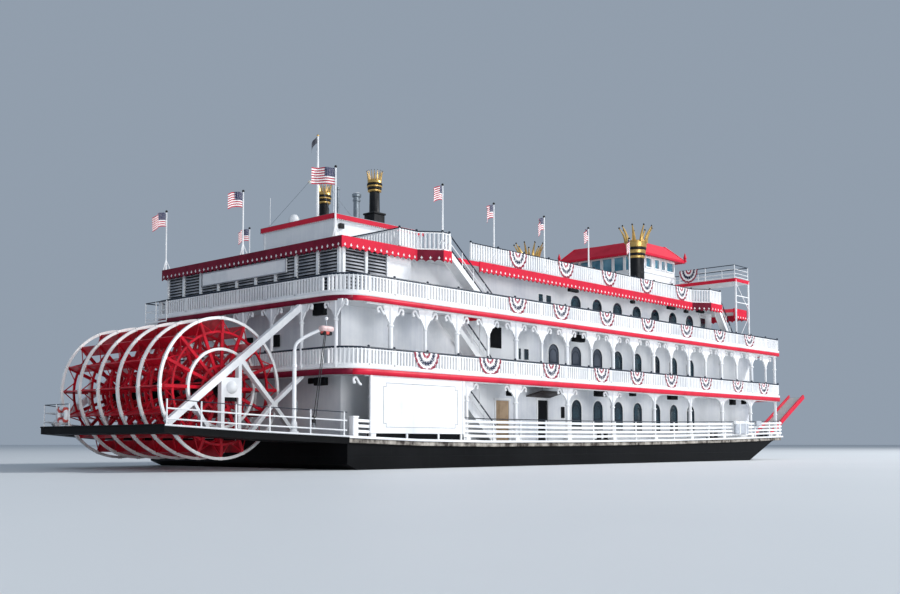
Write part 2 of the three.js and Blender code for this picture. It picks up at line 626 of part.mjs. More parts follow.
for (const { side, label } of SIDES) {
  const line = side * ROOF_RAIL_LINE;
  part(`roof_rail_${label}`, roofRun([
    [ROOF_RAIL_RESTART, line], [LANDING.forward[0] + 0.04, line], [LANDING.forward[1] + 0.03, side * LANDING_RAIL],
    [LANDING.forward[2] - 0.1, side * LANDING_RAIL]], SIDE_POLES.map((x) => [x, line])), PAINT.white);
}

// Stairs: three flights on each side rise aft, tied by an upright at the wells
function flight(footX, footZ, headX, headZ, side, inner = STAIR_INNER, outer = STAIR_OUTER) {
  const steps = Math.round((headZ - footZ) / RISE);
  const run = (headX - footX) / steps;
  const rise = (headZ - footZ) / steps;
  const teeth = [];
  for (let i = 0; i < steps; i += 1) {
    teeth.push([footX + run * i, footZ + rise * i], [footX + run * i, footZ + rise * (i + 1)]);
  }
  const slope = Math.sign(headX - footX);
  return sideForm([
    ...teeth, [headX, headZ], [headX, headZ - STAIR_DEPTH - rise], [footX + slope * STAIR_DEPTH, footZ]],
  side * inner, side * outer);
}

function handrail(foot, head, side, y) {
  const line = side * y;
  const top = 0.95;
  const headX = head[0] + 0.05;
  return join(
    rod([foot[0], line, foot[1] + top], [headX, line, head[1] + top], 0.04, 4),
    rod([foot[0] - 0.06, line, foot[1]], [foot[0] - 0.06, line, foot[1] + top], 0.03, 4),
    rod([headX + 0.06, line, head[1] - 0.25], [headX + 0.06, line, head[1] + top], 0.03, 4));
}

// The third flight and the forward one stand outboard of the roof's edge.
const FLIGHTS = [
  { foot: [22.1, 1.55], head: [17.72, SECOND_DECK - 0.02], inner: STAIR_INNER, outer: STAIR_OUTER },
  { foot: [22.1, SECOND_DECK + GAP], head: [17.72, THIRD_DECK - 0.02], inner: STAIR_INNER, outer: STAIR_OUTER },
  { foot: [20.8, THIRD_DECK + GAP], head: [LANDING.aft[2] + 0.02, ROOF_DECK - 0.02], inner: 8.35, outer: 9.12 },
];
const FORWARD_FLIGHT = { foot: [51.35, THIRD_DECK + GAP], head: [LANDING.forward[2] + 0.02, ROOF_DECK - 0.02], inner: 8.35, outer: 8.88 };
for (const { side, label } of SIDES) {
  const run = ({ foot, head, inner, outer }) => join(
    flight(foot[0], foot[1], head[0], head[1], side, inner, outer), handrail(foot, head, side, outer - 0.04));
  const tieLine = side * (STAIR_OUTER - 0.04);
  const tie = join(
    rod([20.6, tieLine, 3.6], [20.6, tieLine, 9.42], 0.03, 4),
    box(20.57, 20.63, tieLine - side * 0.02, side * 8.4, 9.36, 9.42));
  part(`stairs_${label}`, onDeck(join(FLIGHTS.map(run), tie)), PAINT.white);
  part(`stairs_forward_${label}`, run(FORWARD_FLIGHT), PAINT.white);
}

// Wheel: six rings on spoked frames, sixteen boards and a shaft, about an axis along y
const wheel = body(WHEEL_X, 0, WHEEL_Z);
const ringInner = WHEEL_RADIUS - RING_DEPTH;
const frameLines = Array.from({ length: FRAME_COUNT }, (_, i) => -WHEEL_HALF + 2 * WHEEL_HALF * i / (FRAME_COUNT - 1));
frameLines.forEach((y, i) => {
  part(`wheel_ring_${i + 1}`, wheelRing(WHEEL_RADIUS, ringInner, y - RING_WIDTH / 2, y + RING_WIDTH / 2, 32), PAINT.white, wheel);
});

function rotor() {
  const reach = ringInner - 0.007;
  const turns = Array.from({ length: SPOKE_COUNT }, (_, i) => 2 * Math.PI * i / SPOKE_COUNT);
  const arms = turns.flatMap((turn) => frameLines.map((y) => box(0.1, 3, y - 0.06, y + 0.06, -0.04, 0.04, turn)));
  const boards = turns.map((turn) => box(2.88, reach, -WHEEL_HALF - 0.08, WHEEL_HALF + 0.08, -0.05, 0.05, turn));
  const hubs = frameLines.map((y) => rod([0, y - 0.16, 0], [0, y + 0.16, 0], 0.55, 12));
  const shaft = rod([0, -TRUSS_OUTER - 0.15, 0], [0, TRUSS_OUTER + 0.15, 0], SHAFT_RADIUS, 12);
  return join(arms, boards, hubs, shaft);
}
part('wheel_rotor', rotor(), PAINT.wheelRed, wheel);

// Truss on each side of the wheel, with its bearing
const TRUSS_BARS = [
  { from: [0.45, 2.35], to: [8.75, 8.85], depth: 0.34 },
  { from: [4.7, 5.6], to: [6.8, 3.44], depth: 0.2 },
  { from: [6.8, 3.44], to: [8.75, 5], depth: 0.2 },
  { from: [6.8, 3.44], to: [5.3, 1.9], depth: 0.2 },
  { from: [6.8, 3.44], to: [8.3, 1.8], depth: 0.2 },
  { from: [1.9, 3.4], to: [2.85, 2], depth: 0.16 },
  { from: [3.58, 1.9], to: [3.58, 4.85], depth: 0.2 },
  { from: [4.62, 1.9], to: [4.62, 5.5], depth: 0.2 },
];
for (const { side, label } of SIDES) {
  const [y0, y1] = [side * TRUSS_INNER, side * TRUSS_OUTER];
  const bars = TRUSS_BARS.map(({ from, to, depth }) => bar(from, to, depth, y0, y1));
  const block = box(WHEEL_X - 0.5, WHEEL_X + 0.5, y0, y1, WHEEL_Z - 0.5, WHEEL_Z + 0.5);
  const hole = rod([WHEEL_X, y0 - side, WHEEL_Z], [WHEEL_X, y1 + side, WHEEL_Z], BEARING_HOLE, 16);
  const slabs = [SECOND_DECK, THIRD_DECK].map((z) => box(DECK_AFT - GAP, 12, -9, 9, z - SLAB - GAP, z + 0.4));
  part(`wheel_truss_${label}`, onDeck(cut(join(bars, block), hole, slabs)), PAINT.white);
}

// Chimney stacks: black pipe, ringed collar and a flared crown of prongs
function stack({ x, y, foot, pipe, collarLow, collarTop, collar, crownTop, crownWide, prongs, plinth }) {
  const profile = [
    [0, foot], [pipe, foot], [pipe, collarLow], [collar, collarLow], [collar, collarTop],
    [pipe, collarTop], [pipe, collarTop + 0.15], [0, collarTop + 0.15]];
  const crown = Array.from({ length: prongs }, (_, i) => {
    const angle = 2 * Math.PI * (i + 0.5) / prongs;
    const at = (r, z) => [x + r * Math.cos(angle), y + r * Math.sin(angle), z];
    return rod(at(pipe * 0.8, collarTop), at(crownWide, crownTop), pipe * 0.16, 4);
  });
  const base = plinth ? [box(x - plinth, x + plinth, y - plinth, y + plinth, foot, foot + 0.6)] : [];
  return join(turned(profile, x, y, 12), crown, base);
}
const AFT_STACK = {
  x: 17.1, foot: BRIDGE_DECK + GAP, pipe: 0.32, collarLow: 17, collarTop: 17.6, collar: 0.48,
  crownTop: 18.1, crownWide: 0.54, prongs: 8, plinth: 0.48,
};
const FORWARD_STACK = {
  x: 42.4, foot: ROOF_DECK + GAP, pipe: 0.6, collarLow: 15.85, collarTop: 17.1, collar: 0.72,
  crownTop: 18.3, crownWide: 1.22, prongs: 8,
};
for (const { side, label } of SIDES) {
  part(`stack_aft_${label}`, stack({ ...AFT_STACK, y: side * 2.4 }), PAINT.black);
  part(`stack_forward_${label}`, stack({ ...FORWARD_STACK, y: side * 5.3 }), PAINT.black);
}

// Roof house aft, with its mast and vents
function roofHouse() {
  const shell = cut(
    join(box(13, 20.2, -3.3, 3.3, ROOF_DECK + GAP, 14.6), box(12.85, 20.35, -3.45, 3.45, 14.55, BRIDGE_DECK)),
    box(13.15, 20.05, -3.15, 3.15, ROOF_DECK - 1, 14.4));
  const mast = rod([14.5, 0, 14.7], [14.5, 0, 20.5], 0.06, 8);
  const vent = join(
    rod([16, -1.95, 14.7], [16, -1.95, 16.86], 0.18, 10), rod([16, -0.22, 14.7], [16, -0.22, 17.53], 0.07, 8));
  return join(shell, mast, vent);
}
part('roof_house', roofHouse(), PAINT.white);

// Pilothouse, with its glass and hipped roof
const CAB = { aft: 45.4, forward: 51, half: 3.6, floor: 14.7, sill: 15.55, head: 16.68, eave: 16.8, doorHalf: 0.5 };

function cabWindows() {
  const forward = [-2.3, 2.3].map((y) => box(CAB.forward - 1, CAB.forward + 1, y - 1.05, y + 1.05, CAB.sill, CAB.head));
  const aft = [-2.8, -1.68, -0.56, 0.56, 1.68, 2.8].map((y) => box(CAB.aft - 1, CAB.aft + 1, y - 0.48, y + 0.48, CAB.sill, CAB.head));
  const along = [[46.9, 0.43], [48.17, 0.36], [49.17, 0.27], [50.28, 0.58]].map(
    ([x, half]) => box(x - half, x + half, -CAB.half - 1, CAB.half + 1, CAB.sill + 0.3, CAB.head - 0.08));
  return [...forward, ...aft, ...along];
}
const cabDoorway = box(CAB.forward - 1, CAB.forward + 1, -CAB.doorHalf, CAB.doorHalf, BRIDGE_DECK, CAB.head + 0.1);
part('pilothouse', cut(
  box(CAB.aft, CAB.forward, -CAB.half, CAB.half, ROOF_DECK + GAP, CAB.eave - GAP),
  box(CAB.aft + 0.12, CAB.forward - 0.12, -CAB.half + 0.12, CAB.half - 0.12, CAB.floor, CAB.eave + 1),
  cabWindows(), cabDoorway), PAINT.white);
part('pilothouse_glass', cut(
  box(CAB.aft + 0.125, CAB.forward - 0.125, -CAB.half + 0.125, CAB.half - 0.125, CAB.sill - 0.1, CAB.head + 0.08),
  box(CAB.aft + 0.165, CAB.forward - 0.165, -CAB.half + 0.165, CAB.half - 0.165, CAB.sill - 1, CAB.head + 1),
  box(CAB.forward - 1, CAB.forward + 1, -CAB.doorHalf - 0.02, CAB.doorHalf + 0.02, 14, 17)), PAINT.glass);

function hippedRoof() {
  const eave = 0.45;
  const [x0, x1, half] = [CAB.aft - eave, CAB.forward + 1, CAB.half + eave];
  const ridge = 18.2;
  const plate = box(x0, x1, -half, half, CAB.eave, CAB.eave + 0.12);
  const across = crossForm([[-half, CAB.eave + 0.05], [half, CAB.eave + 0.05], [0.8, ridge], [-0.8, ridge]], x0, x1);
  const along = sideForm([[x0, CAB.eave + 0.05], [x1, CAB.eave + 0.05], [x1 - 2.4, ridge], [x0 + 2.4, ridge]], -half, half);
  return join(plate, across.intersect(along));
}
part('pilothouse_roof', hippedRoof(), PAINT.red);

// Bridge wings ahead of the pilothouse, on posts
function bridgeWing() {
  const [aft, forward, half] = [CAB.forward + 0.1, 53.6, 9.15];
  const legLine = 9.08;
  const plate = box(aft, forward, -half, half, BRIDGE_DECK - SLAB, BRIDGE_DECK);
  const corners = [[aft + 0.1, -half + 0.1], [forward - 0.1, -half + 0.1], [forward - 0.1, half - 0.1], [aft + 0.1, half - 0.1]];
  const rails = railing(corners, BRIDGE_DECK - 2 * GAP, BAY);
  const legs = SIDES.flatMap(({ side }) => [
    ...[aft + 0.2, forward - 0.1].map((x) => rod([x, side * legLine, THIRD_DECK + GAP], [x, side * legLine, BRIDGE_DECK - 0.1], 0.07, 8)),
    ...[0.55, 1.1].map((height) => rod(
      [aft + 0.2, side * legLine, ROOF_DECK + height], [forward - 0.1, side * legLine, ROOF_DECK + height], 0.035, 6)),
    rod([forward - 0.35, side * 4, ROOF_DECK + GAP], [forward - 0.35, side * 4, BRIDGE_DECK - 0.1], 0.09, 8)]);
  return join(plate, rails, legs);
}
part('bridge_wing', bridgeWing(), PAINT.white);

// Stage: the landing gangway that the bow's hinge carries, held up by its winch
const stage = body(STAGE.x, STAGE.y, STAGE.z);
stage.rotation.y = THREE.MathUtils.degToRad(-STAGE.raised);

function stageForm() {
  const { half, length, pin } = STAGE;
  const stringers = [-1, 1].map((side) => box(-0.05, length, side * half, side * (half - 0.1), -0.08, 0.27));
  const boards = box(0.15, length - 0.05, -half + 0.05, half - 0.05, 0.02, 0.08);
  const pinRod = rod([0, -half - 0.17, 0], [0, half + 0.17, 0], pin, 12);
  const crossBars = [0.2, 2.6, 5, length - 0.15].map((x) => box(x - 0.05, x + 0.05, -half + 0.05, half - 0.05, -0.06, 0.05));
  return join(stringers, boards, pinRod, crossBars);
}
part('stage', stageForm(), PAINT.red, stage);

// Doors swing outward about upright edges, just clear of their frames. The axis stands out from the wall.
function door(name, { aft, forward, top }, low, side, hingeForward, paint) {
  const play = 0.015;
  const thick = 0.06;
  const stand = 0.03;
  const hinge = hingeForward ? forward : aft;
  const group = body(hinge, side * (HOUSE_HALF + stand), 0);
  const free = hingeForward ? aft - hinge : forward - hinge;
  const sign = Math.sign(free);
  const panel = box(sign * play, free - sign * play, -side * stand, -side * (stand + thick), low + play, top - play);
  part(name, panel, paint, group);
}
for (const { side, label } of SIDES) {
  door(`main_door_${label}`, MAIN_DOOR, deckHeight(MAIN_DOOR.forward), side, true, PAINT.tan);
  door(`texas_door_${label}`, TEXAS_DOOR, THIRD_DECK, side, false, PAINT.white);
}

// Davit on the starboard wing of the fantail
const DAVIT = { x: 6.3, y: -8 };
const davit = body(DAVIT.x, DAVIT.y, 0);
const davitFoot = deckHeight(DAVIT.x) + 0.015;
part('davit', join(
  rod([0, 0, davitFoot], [0, 0, 6.15], 0.1, 8),
  rod([0, 0, davitFoot], [0, 0, davitFoot + 0.5], 0.17, 8),
  path([[0, 0, 6.05], [0.45, -0.2, 6.85], [1.15, -0.53, 7.35], [1.95, -0.9, 7.5]], 0.09, 6),
  rod([1.9, -0.88, 7.52], [1.9, -0.88, 7.25], 0.05, 6)), PAINT.white, davit);

// The model's origin is the middle of its lowest face.
const extent = new THREE.Box3().setFromObject(ship);
ship.position.set(-(extent.min.x + extent.max.x) / 2, 0, -extent.min.z);

export default ship;
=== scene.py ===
"""Dresses the solids of a half-size stern-wheel paddle steamer with ironwork, joinery, cloth and paint.

Sizes and places are in metres of the full-size vessel: s runs forward from the fantail's aft edge, y to port
and z up from the waterline. at() turns them to metres of the half-size model.
"""
import math

import bpy
from mathutils import Matrix, Vector


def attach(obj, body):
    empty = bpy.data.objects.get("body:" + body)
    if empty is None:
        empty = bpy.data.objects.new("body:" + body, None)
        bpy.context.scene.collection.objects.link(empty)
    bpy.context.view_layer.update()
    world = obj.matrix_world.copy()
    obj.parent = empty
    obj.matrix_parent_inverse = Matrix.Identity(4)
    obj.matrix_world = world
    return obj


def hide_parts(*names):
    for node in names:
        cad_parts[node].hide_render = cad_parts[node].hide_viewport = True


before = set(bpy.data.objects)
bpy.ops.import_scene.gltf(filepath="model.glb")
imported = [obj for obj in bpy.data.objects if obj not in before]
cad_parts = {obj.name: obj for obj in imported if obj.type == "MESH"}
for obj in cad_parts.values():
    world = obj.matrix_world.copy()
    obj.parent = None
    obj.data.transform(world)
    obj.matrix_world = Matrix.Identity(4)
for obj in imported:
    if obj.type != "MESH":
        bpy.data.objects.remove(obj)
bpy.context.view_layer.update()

# Scale and main sizes, as in the solids
SCALE = 0.5
MIDSHIP = 32.954
DRAFT = 1.8
SHEER_STATIONS = (0, 4, 8.8, 14, 20, 30, 40, 50, 58.85)
TRANSOM = 8.8
DECK_BOW = 58.85
DECK_HALF = 9.4
FANTAIL_HALF = 6.15
SECOND_DECK = 5.34
THIRD_DECK = 9.2
ROOF_DECK = 12.36
BRIDGE_DECK = 14.86
SLAB = 0.28
HOUSE_HALF = 6.9
HOUSE_AFT = 10.4
BAY = 2.585
FIRST_COLUMN = 12.1
COLUMN_LINE = 9.1
RAIL_LINE = 9.3
RAIL_HEIGHT = 1.1
MAIN_RAIL = 1.3
ROOF_HALF = 8.25
WHEEL_S = 4.1
WHEEL_Z = 4.2
WHEEL_RADIUS = 3.67
SPOKES = 16
# Each side's name and the sign of its y
SIDES = {"starboard": -1, "port": 1}


def at(s, y, z):
    """A point of the vessel as a point of the model."""
    return Vector(((s - MIDSHIP) * SCALE, y * SCALE, (z + DRAFT) * SCALE))


def deck_height(s):
    """Height of the main deck, straight between its stations."""
    def curve(station):
        return 1.52 + (0.0019 if station < 20 else 0.00032) * (station - 20) ** 2
    after = next((k for k, station in enumerate(SHEER_STATIONS) if station >= s and k),
                 len(SHEER_STATIONS) - 1)
    a, b = SHEER_STATIONS[after - 1], SHEER_STATIONS[after]
    return curve(a) + (curve(b) - curve(a)) * (s - a) / (b - a)


# Materials

def colour(code):
    """A hex colour as linear red, green, blue and alpha."""
    values = [int(code[i:i + 2], 16) / 255 for i in (1, 3, 5)]
    return [v / 12.92 if v <= 0.04045 else ((v + 0.055) / 1.055) ** 2.4 for v in values] + [1]


def add_node(tree, kind, values=None, links=None, **settings):
    """Adds a node, with its settings, its sockets' values and the outputs that its sockets are linked to."""
    node = tree.nodes.new("ShaderNode" + kind)
    for name, value in settings.items():
        setattr(node, name, value)
    for socket, value in (values or {}).items():
        node.inputs[socket].default_value = value
    for socket, (source, output) in (links or {}).items():
        tree.links.new(source.outputs[output], node.inputs[socket])
    return node


MIX_A, MIX_B, MIX_RESULT = 6, 7, 2


def new_material(name, shader_values):
    """A material with only a Principled shader, and its tree."""
    material = bpy.data.materials.new(name)
    material.use_nodes = True
    tree = material.node_tree
    shader = tree.nodes["Principled BSDF"]
    for socket, value in shader_values.items():
        shader.inputs[socket].default_value = value
    return material, tree, shader


def wire(tree, shader, skin, bump=None):
    """Gives a shader its colour and its relief."""
    tree.links.new(skin[0].outputs[skin[1]], shader.inputs["Base Color"])
    if bump:
        tree.links.new(bump.outputs[0], shader.inputs["Normal"])


def blend_colours(tree, factor, first, second):
    """Mixes two colours, each a hex code or a node's output, by a node's output."""
    node = add_node(tree, "Mix", links={0: factor}, data_type="RGBA")
    for socket, value in ((MIX_A, first), (MIX_B, second)):
        if isinstance(value, str):
            node.inputs[socket].default_value = colour(value)
        else:
            tree.links.new(value[0].outputs[value[1]], node.inputs[socket])
    return node, MIX_RESULT


def paint(name, base, worn, roughness, patch_mm=900, streak=0.35, dent_mm=60, dent=0.12, seams=None,
          metallic=0.0, coat=0.0, flat_top=None, flat_under=None, mirror=0.5):
    """Brushed enamel: patches of wear, rain streaks that run down, fine brush marks and seams of the plates.
    flat_top and flat_under are the colours of faces that look up and down, mirror how much they reflect."""
    material, tree, shader = new_material(name, {"Roughness": roughness, "Metallic": metallic,
                                                 "Coat Weight": coat, "Specular IOR Level": mirror})
    place = add_node(tree, "TexCoord")
    patches = add_node(tree, "TexNoise", {"Scale": 1000 / patch_mm, "Detail": 6, "Roughness": 0.6},
                       {"Vector": (place, "Object")})
    hang = add_node(tree, "Mapping", {"Scale": (1, 1, 0.07)}, {"Vector": (place, "Object")})
    streaks = add_node(tree, "TexNoise", {"Scale": 9, "Detail": 4}, {"Vector": (hang, "Vector")})
    both = add_node(tree, "Math", {1: streak}, {0: (streaks, "Fac")}, operation="MULTIPLY")
    dirt = add_node(tree, "Math", links={0: (patches, "Fac"), 1: (both, 0)}, operation="MULTIPLY_ADD")
    dirt.inputs[2].default_value = 0.0
    tree.links.new(patches.outputs["Fac"], dirt.inputs[2])
    shown = add_node(tree, "MapRange", {"From Min": 0.55, "From Max": 1.05}, {"Value": (dirt, 0)})
    skin = blend_colours(tree, (shown, 0), base, worn)
    marks = add_node(tree, "TexNoise", {"Scale": 1000 / dent_mm, "Detail": 3}, {"Vector": (place, "Object")})
    bump = add_node(tree, "Bump", {"Strength": dent, "Distance": 0.01}, {"Height": (marks, "Fac")})
    if seams:
        length, height = seams
        part = add_node(tree, "SeparateXYZ", links={0: (place, "Object")})
        across = add_node(tree, "CombineXYZ", links={0: (part, "X"), 1: (part, "Z")})
        plates = add_node(tree, "TexBrick", {"Scale": 1, "Mortar Size": 0.004, "Mortar Smooth": 0.4,
                                             "Brick Width": length / 1000, "Row Height": height / 1000},
                          {"Vector": (across, 0)})
        bump = add_node(tree, "Bump", {"Strength": 0.5, "Distance": 0.01},
                        {"Height": (plates, "Fac"), "Normal": (bump, 0)}, invert=True)
        faint = add_node(tree, "Math", {1: 0.45}, {0: (plates, "Fac")}, operation="MULTIPLY")
        skin = blend_colours(tree, (faint, 0), skin, worn)
    if flat_top or flat_under:
        geometry = add_node(tree, "NewGeometry")
        facing = add_node(tree, "SeparateXYZ", links={0: (geometry, "Normal")})
        for tone, limit, compare in ((flat_top, 0.5, "GREATER_THAN"), (flat_under, -0.5, "LESS_THAN")):
            if tone:
                flat = add_node(tree, "Math", {1: limit}, {0: (facing, "Z")}, operation=compare)
                skin = blend_colours(tree, (flat, 0), skin, tone)
    gloss = add_node(tree, "MapRange", {"From Min": 0.3, "From Max": 0.8, "To Min": roughness - 0.06,
                                        "To Max": roughness + 0.16}, {"Value": (patches, "Fac")})
    tree.links.new(gloss.outputs[0], shader.inputs["Roughness"])
    wire(tree, shader, skin, bump)
    return material


# White marine enamel, brushed on steel: clean and bright, with faint grey rain marks
WHITE = paint("white_enamel", "#FAFAFA", "#D3D7DD", 0.4, patch_mm=1400, streak=0.5, mirror=0.35)
HOUSE_WHITE = paint("white_enamel_plate", "#F6F7F9", "#CDD2DC", 0.45, patch_mm=1900, streak=0.55,
                    seams=(1290, 1930), mirror=0.3)
# Crimson enamel of the bands and valances: bright and flat, a little chalked by the sun
CRIMSON = paint("crimson_enamel", "#D81F3C", "#B4182E", 0.45, patch_mm=700, mirror=0.2)
BAND = paint("crimson_band_enamel", "#D81F3C", "#A8182D", 0.45, patch_mm=900, flat_top="#A7ABAB",
             flat_under="#E9EAEC", mirror=0.2)
# Crimson of the boards that face aft, darkened to maroon as painted shade, with random darker wear patches
SHADED_CRIMSON = paint("crimson_enamel_painted_shade", "#7E1530", "#5A0D22", 0.5, patch_mm=500, streak=0.6, mirror=0.15)
# Wheel enamel: deep red and wet, with darker stained places
WHEEL_RED = paint("wheel_red_enamel", "#CE1029", "#6A0712", 0.32, patch_mm=420, streak=0.6, coat=0.12,
                  mirror=0.25)
WHEEL_WHITE = paint("wheel_white_enamel", "#F8F8F7", "#BDBBB8", 0.35, patch_mm=380, streak=0.3, mirror=0.4)
# Hull enamel: near black and dull, with welded plate seams
HULL_BLACK = paint("hull_black_enamel", "#07080A", "#121315", 0.5, patch_mm=1300, streak=0.8,
                   seams=(3000, 620), mirror=0.1)
DECK_GREY = paint("deck_paint", "#E8E8E6", "#B9B7B0", 0.6, patch_mm=500, flat_top="#9FA3A3")
# Rubbing timber: bleached and scraped down to dark stains by quay walls
STRAKE_TAN = paint("rubbing_strake_timber", "#BDB6AC", "#3E3733", 0.8, patch_mm=300, streak=1.2, dent_mm=24,
                   dent=0.5, mirror=0.2)
LOUVRE_GREY = paint("louvre_grey_paint", "#B4B6BC", "#8C9098", 0.6, patch_mm=500, streak=0.6, mirror=0.2)
STACK_BLACK = paint("stack_black_heat_paint", "#0B0C0F", "#202126", 0.4, patch_mm=500, streak=0.4, mirror=0.3)
RAIL_DARK = paint("handrail_dark_enamel", "#182434", "#2E3C4C", 0.4, patch_mm=300, mirror=0.3)
DOOR_TAN = paint("door_tan_paint", "#B59A7C", "#8C745A", 0.5, patch_mm=350, streak=0.5)
# Near black: the paint of boxes and lamps, and painted shade where it fills openings and gaps
BLACK_AND_PAINTED_SHADE = paint("black_paint_and_painted_shade", "#0C0E11", "#181B20", 0.6, patch_mm=600, mirror=0.15)
CANOPY_BROWN = paint("canopy_brown_paint", "#241716", "#170F0F", 0.6, patch_mm=400)
GALVANISED = paint("galvanised_steel", "#8E979E", "#6D757B", 0.42, patch_mm=160, metallic=0.7)
RAFT_GREY = paint("grey_canister_plastic", "#B9BEC6", "#8F959E", 0.55, patch_mm=300)
PALE_PINK = paint("faded_block_paint", "#E3C6C4", "#B98F8E", 0.55, patch_mm=80)
ORANGE = paint("life_ring_orange_skin", "#D9574E", "#B9423A", 0.5, patch_mm=90)
# Gold leaf on spun steel: a soft warm metal, darker in its hollows
GOLD = paint("gold_leaf", "#D9B26A", "#7C5C2C", 0.34, patch_mm=140, streak=0.3, metallic=0.75)


def window_glass(name, deep, pale, size_mm):
    """Tinted plate glass before a dark room: smooth, dark and blue-green, with soft cloudy reflections."""
    material, tree, shader = new_material(name, {"Roughness": 0.05, "IOR": 1.52, "Coat Weight": 0.6,
                                                 "Coat Roughness": 0.03})
    place = add_node(tree, "TexCoord")
    clouds = add_node(tree, "TexNoise", {"Scale": 1000 / size_mm, "Detail": 2}, {"Vector": (place, "Object")})
    shown = add_node(tree, "MapRange", {"From Min": 0.38, "From Max": 0.66}, {"Value": (clouds, "Fac")})
    skin = blend_colours(tree, (shown, 0), deep, pale)
    ripple = add_node(tree, "TexNoise", {"Scale": 3, "Detail": 1}, {"Vector": (place, "Object")})
    bump = add_node(tree, "Bump", {"Strength": 0.05, "Distance": 0.01}, {"Height": (ripple, "Fac")})
    wire(tree, shader, skin, bump)
    return material


GLASS = window_glass("tinted_window_glass", "#0B1A22", "#1E4450", 700)
CURTAINED = window_glass("curtained_window_glass", "#3F4450", "#5C626E", 900)
CAB_GLASS = window_glass("pilothouse_window_glass", "#2E7790", "#7DB6CC", 900)


def lamp_glass():
    """Frosted lamp glass: milky and softly bright."""
    material, tree, shader = new_material("frosted_lamp_glass", {"Roughness": 0.4, "Subsurface Weight": 0.2})
    place = add_node(tree, "TexCoord")
    frost = add_node(tree, "TexNoise", {"Scale": 60}, {"Vector": (place, "Object")})
    skin = blend_colours(tree, (frost, "Fac"), "#F6F1E4", "#E2DCCB")
    wire(tree, shader, skin)
    return material


LAMP = lamp_glass()


def rope_material():
    """Laid black polypropylene rope: strands that wind round the line, 9 mm apart."""
    material, tree, shader = new_material("laid_black_rope", {"Roughness": 0.8})
    place = add_node(tree, "TexCoord")
    strands = add_node(tree, "TexWave", {"Scale": 18, "Distortion": 1.5}, {"Vector": (place, "Object")},
                       bands_direction="DIAGONAL")
    skin = blend_colours(tree, (strands, "Fac"), "#15171A", "#34383C")
    bump = add_node(tree, "Bump", {"Strength": 0.4, "Distance": 0.004}, {"Height": (strands, "Fac")})
    wire(tree, shader, skin, bump)
    return material


ROPE = rope_material()


def cloth_base(name):
    """A woven nylon shader, its UV coordinates and its weave: threads drawn 3 mm apart so that they show."""
    material, tree, shader = new_material(name, {"Roughness": 0.75, "Sheen Weight": 0.15})
    place = add_node(tree, "TexCoord")
    part = add_node(tree, "SeparateXYZ", links={0: (place, "UV")})
    weave = add_node(tree, "TexWave", {"Scale": 40}, {"Vector": (place, "UV")}, bands_direction="DIAGONAL")
    bump = add_node(tree, "Bump", {"Strength": 0.1, "Distance": 0.002}, {"Height": (weave, "Fac")})
    tree.links.new(bump.outputs[0], shader.inputs["Normal"])
    return material, tree, shader, part


def dots(tree, part, across, down, size):
    """A field of round white stars: one in each cell of a grid on the UV map. Gives 1 inside a star."""
    cell = []
    for axis, count in (("X", across), ("Y", down)):
        scaled = add_node(tree, "Math", {1: count}, {0: (part, axis)}, operation="MULTIPLY")
        share = add_node(tree, "Math", links={0: (scaled, 0)}, operation="FRACT")
        cell.append(add_node(tree, "Math", {1: 0.5}, {0: (share, 0)}, operation="SUBTRACT"))
    spot = add_node(tree, "CombineXYZ", links={0: (cell[0], 0), 1: (cell[1], 0)})
    far = add_node(tree, "VectorMath", links={0: (spot, 0)}, operation="LENGTH")
    return add_node(tree, "Math", {1: size}, {0: (far, "Value")}, operation="LESS_THAN"), 0


def flag_material():
    """Printed nylon flag: thirteen red and white stripes and a blue field of white stars."""
    material, tree, shader, part = cloth_base("striped_flag_nylon")
    rows = add_node(tree, "Math", {1: 6.5}, {0: (part, "Y")}, operation="MULTIPLY")
    share = add_node(tree, "Math", links={0: (rows, 0)}, operation="FRACT")
    stripe = add_node(tree, "Math", {1: 0.5}, {0: (share, 0)}, operation="LESS_THAN")
    cloth = blend_colours(tree, (stripe, 0), "#F1EFEE", "#B2203A")
    near = add_node(tree, "Math", {1: 0.42}, {0: (part, "X")}, operation="LESS_THAN")
    high = add_node(tree, "Math", {1: 6 / 13}, {0: (part, "Y")}, operation="GREATER_THAN")
    field = add_node(tree, "Math", links={0: (near, 0), 1: (high, 0)}, operation="MULTIPLY")
    blue = blend_colours(tree, dots(tree, part, 15, 13, 0.15), "#151D4A", "#F1EFEE")
    whole = blend_colours(tree, (field, 0), cloth, blue)
    wire(tree, shader, whole)
    return material


FLAG = flag_material()
# Where each band of a bunting starts, from its middle out, and its colour
BUNTING_BANDS = ((0.0, "#EFEDEE"), (0.12, "#9E1F3B"), (0.27, "#EFEDEE"), (0.44, "#1B2340"), (0.68, "#EFEDEE"),
                 (0.84, "#8E1B36"))


def bunting_material():
    """Pleated cotton bunting: red, white and navy bands round its middle, with stars on the navy one."""
    material, tree, shader, part = cloth_base("pleated_bunting_cotton")
    ramp = add_node(tree, "ValToRGB", links={0: (part, "Y")})
    ramp.color_ramp.interpolation = "CONSTANT"
    for place, code in BUNTING_BANDS[2:]:
        ramp.color_ramp.elements.new(place)
    for element, (place, code) in zip(ramp.color_ramp.elements, BUNTING_BANDS):
        element.position = place
        element.color = colour(code)
    low = add_node(tree, "Math", {1: 0.47}, {0: (part, "Y")}, operation="GREATER_THAN")
    top = add_node(tree, "Math", {1: 0.65}, {0: (part, "Y")}, operation="LESS_THAN")
    band = add_node(tree, "Math", links={0: (low, 0), 1: (top, 0)}, operation="MULTIPLY")
    star = dots(tree, part, 9, 5.4, 0.22)
    shown = add_node(tree, "Math", links={0: (band, 0), 1: star}, operation="MULTIPLY")
    cloth = blend_colours(tree, (shown, 0), (ramp, "Color"), "#EFEDEE")
    wire(tree, shader, cloth)
    return material


BUNTING = bunting_material()


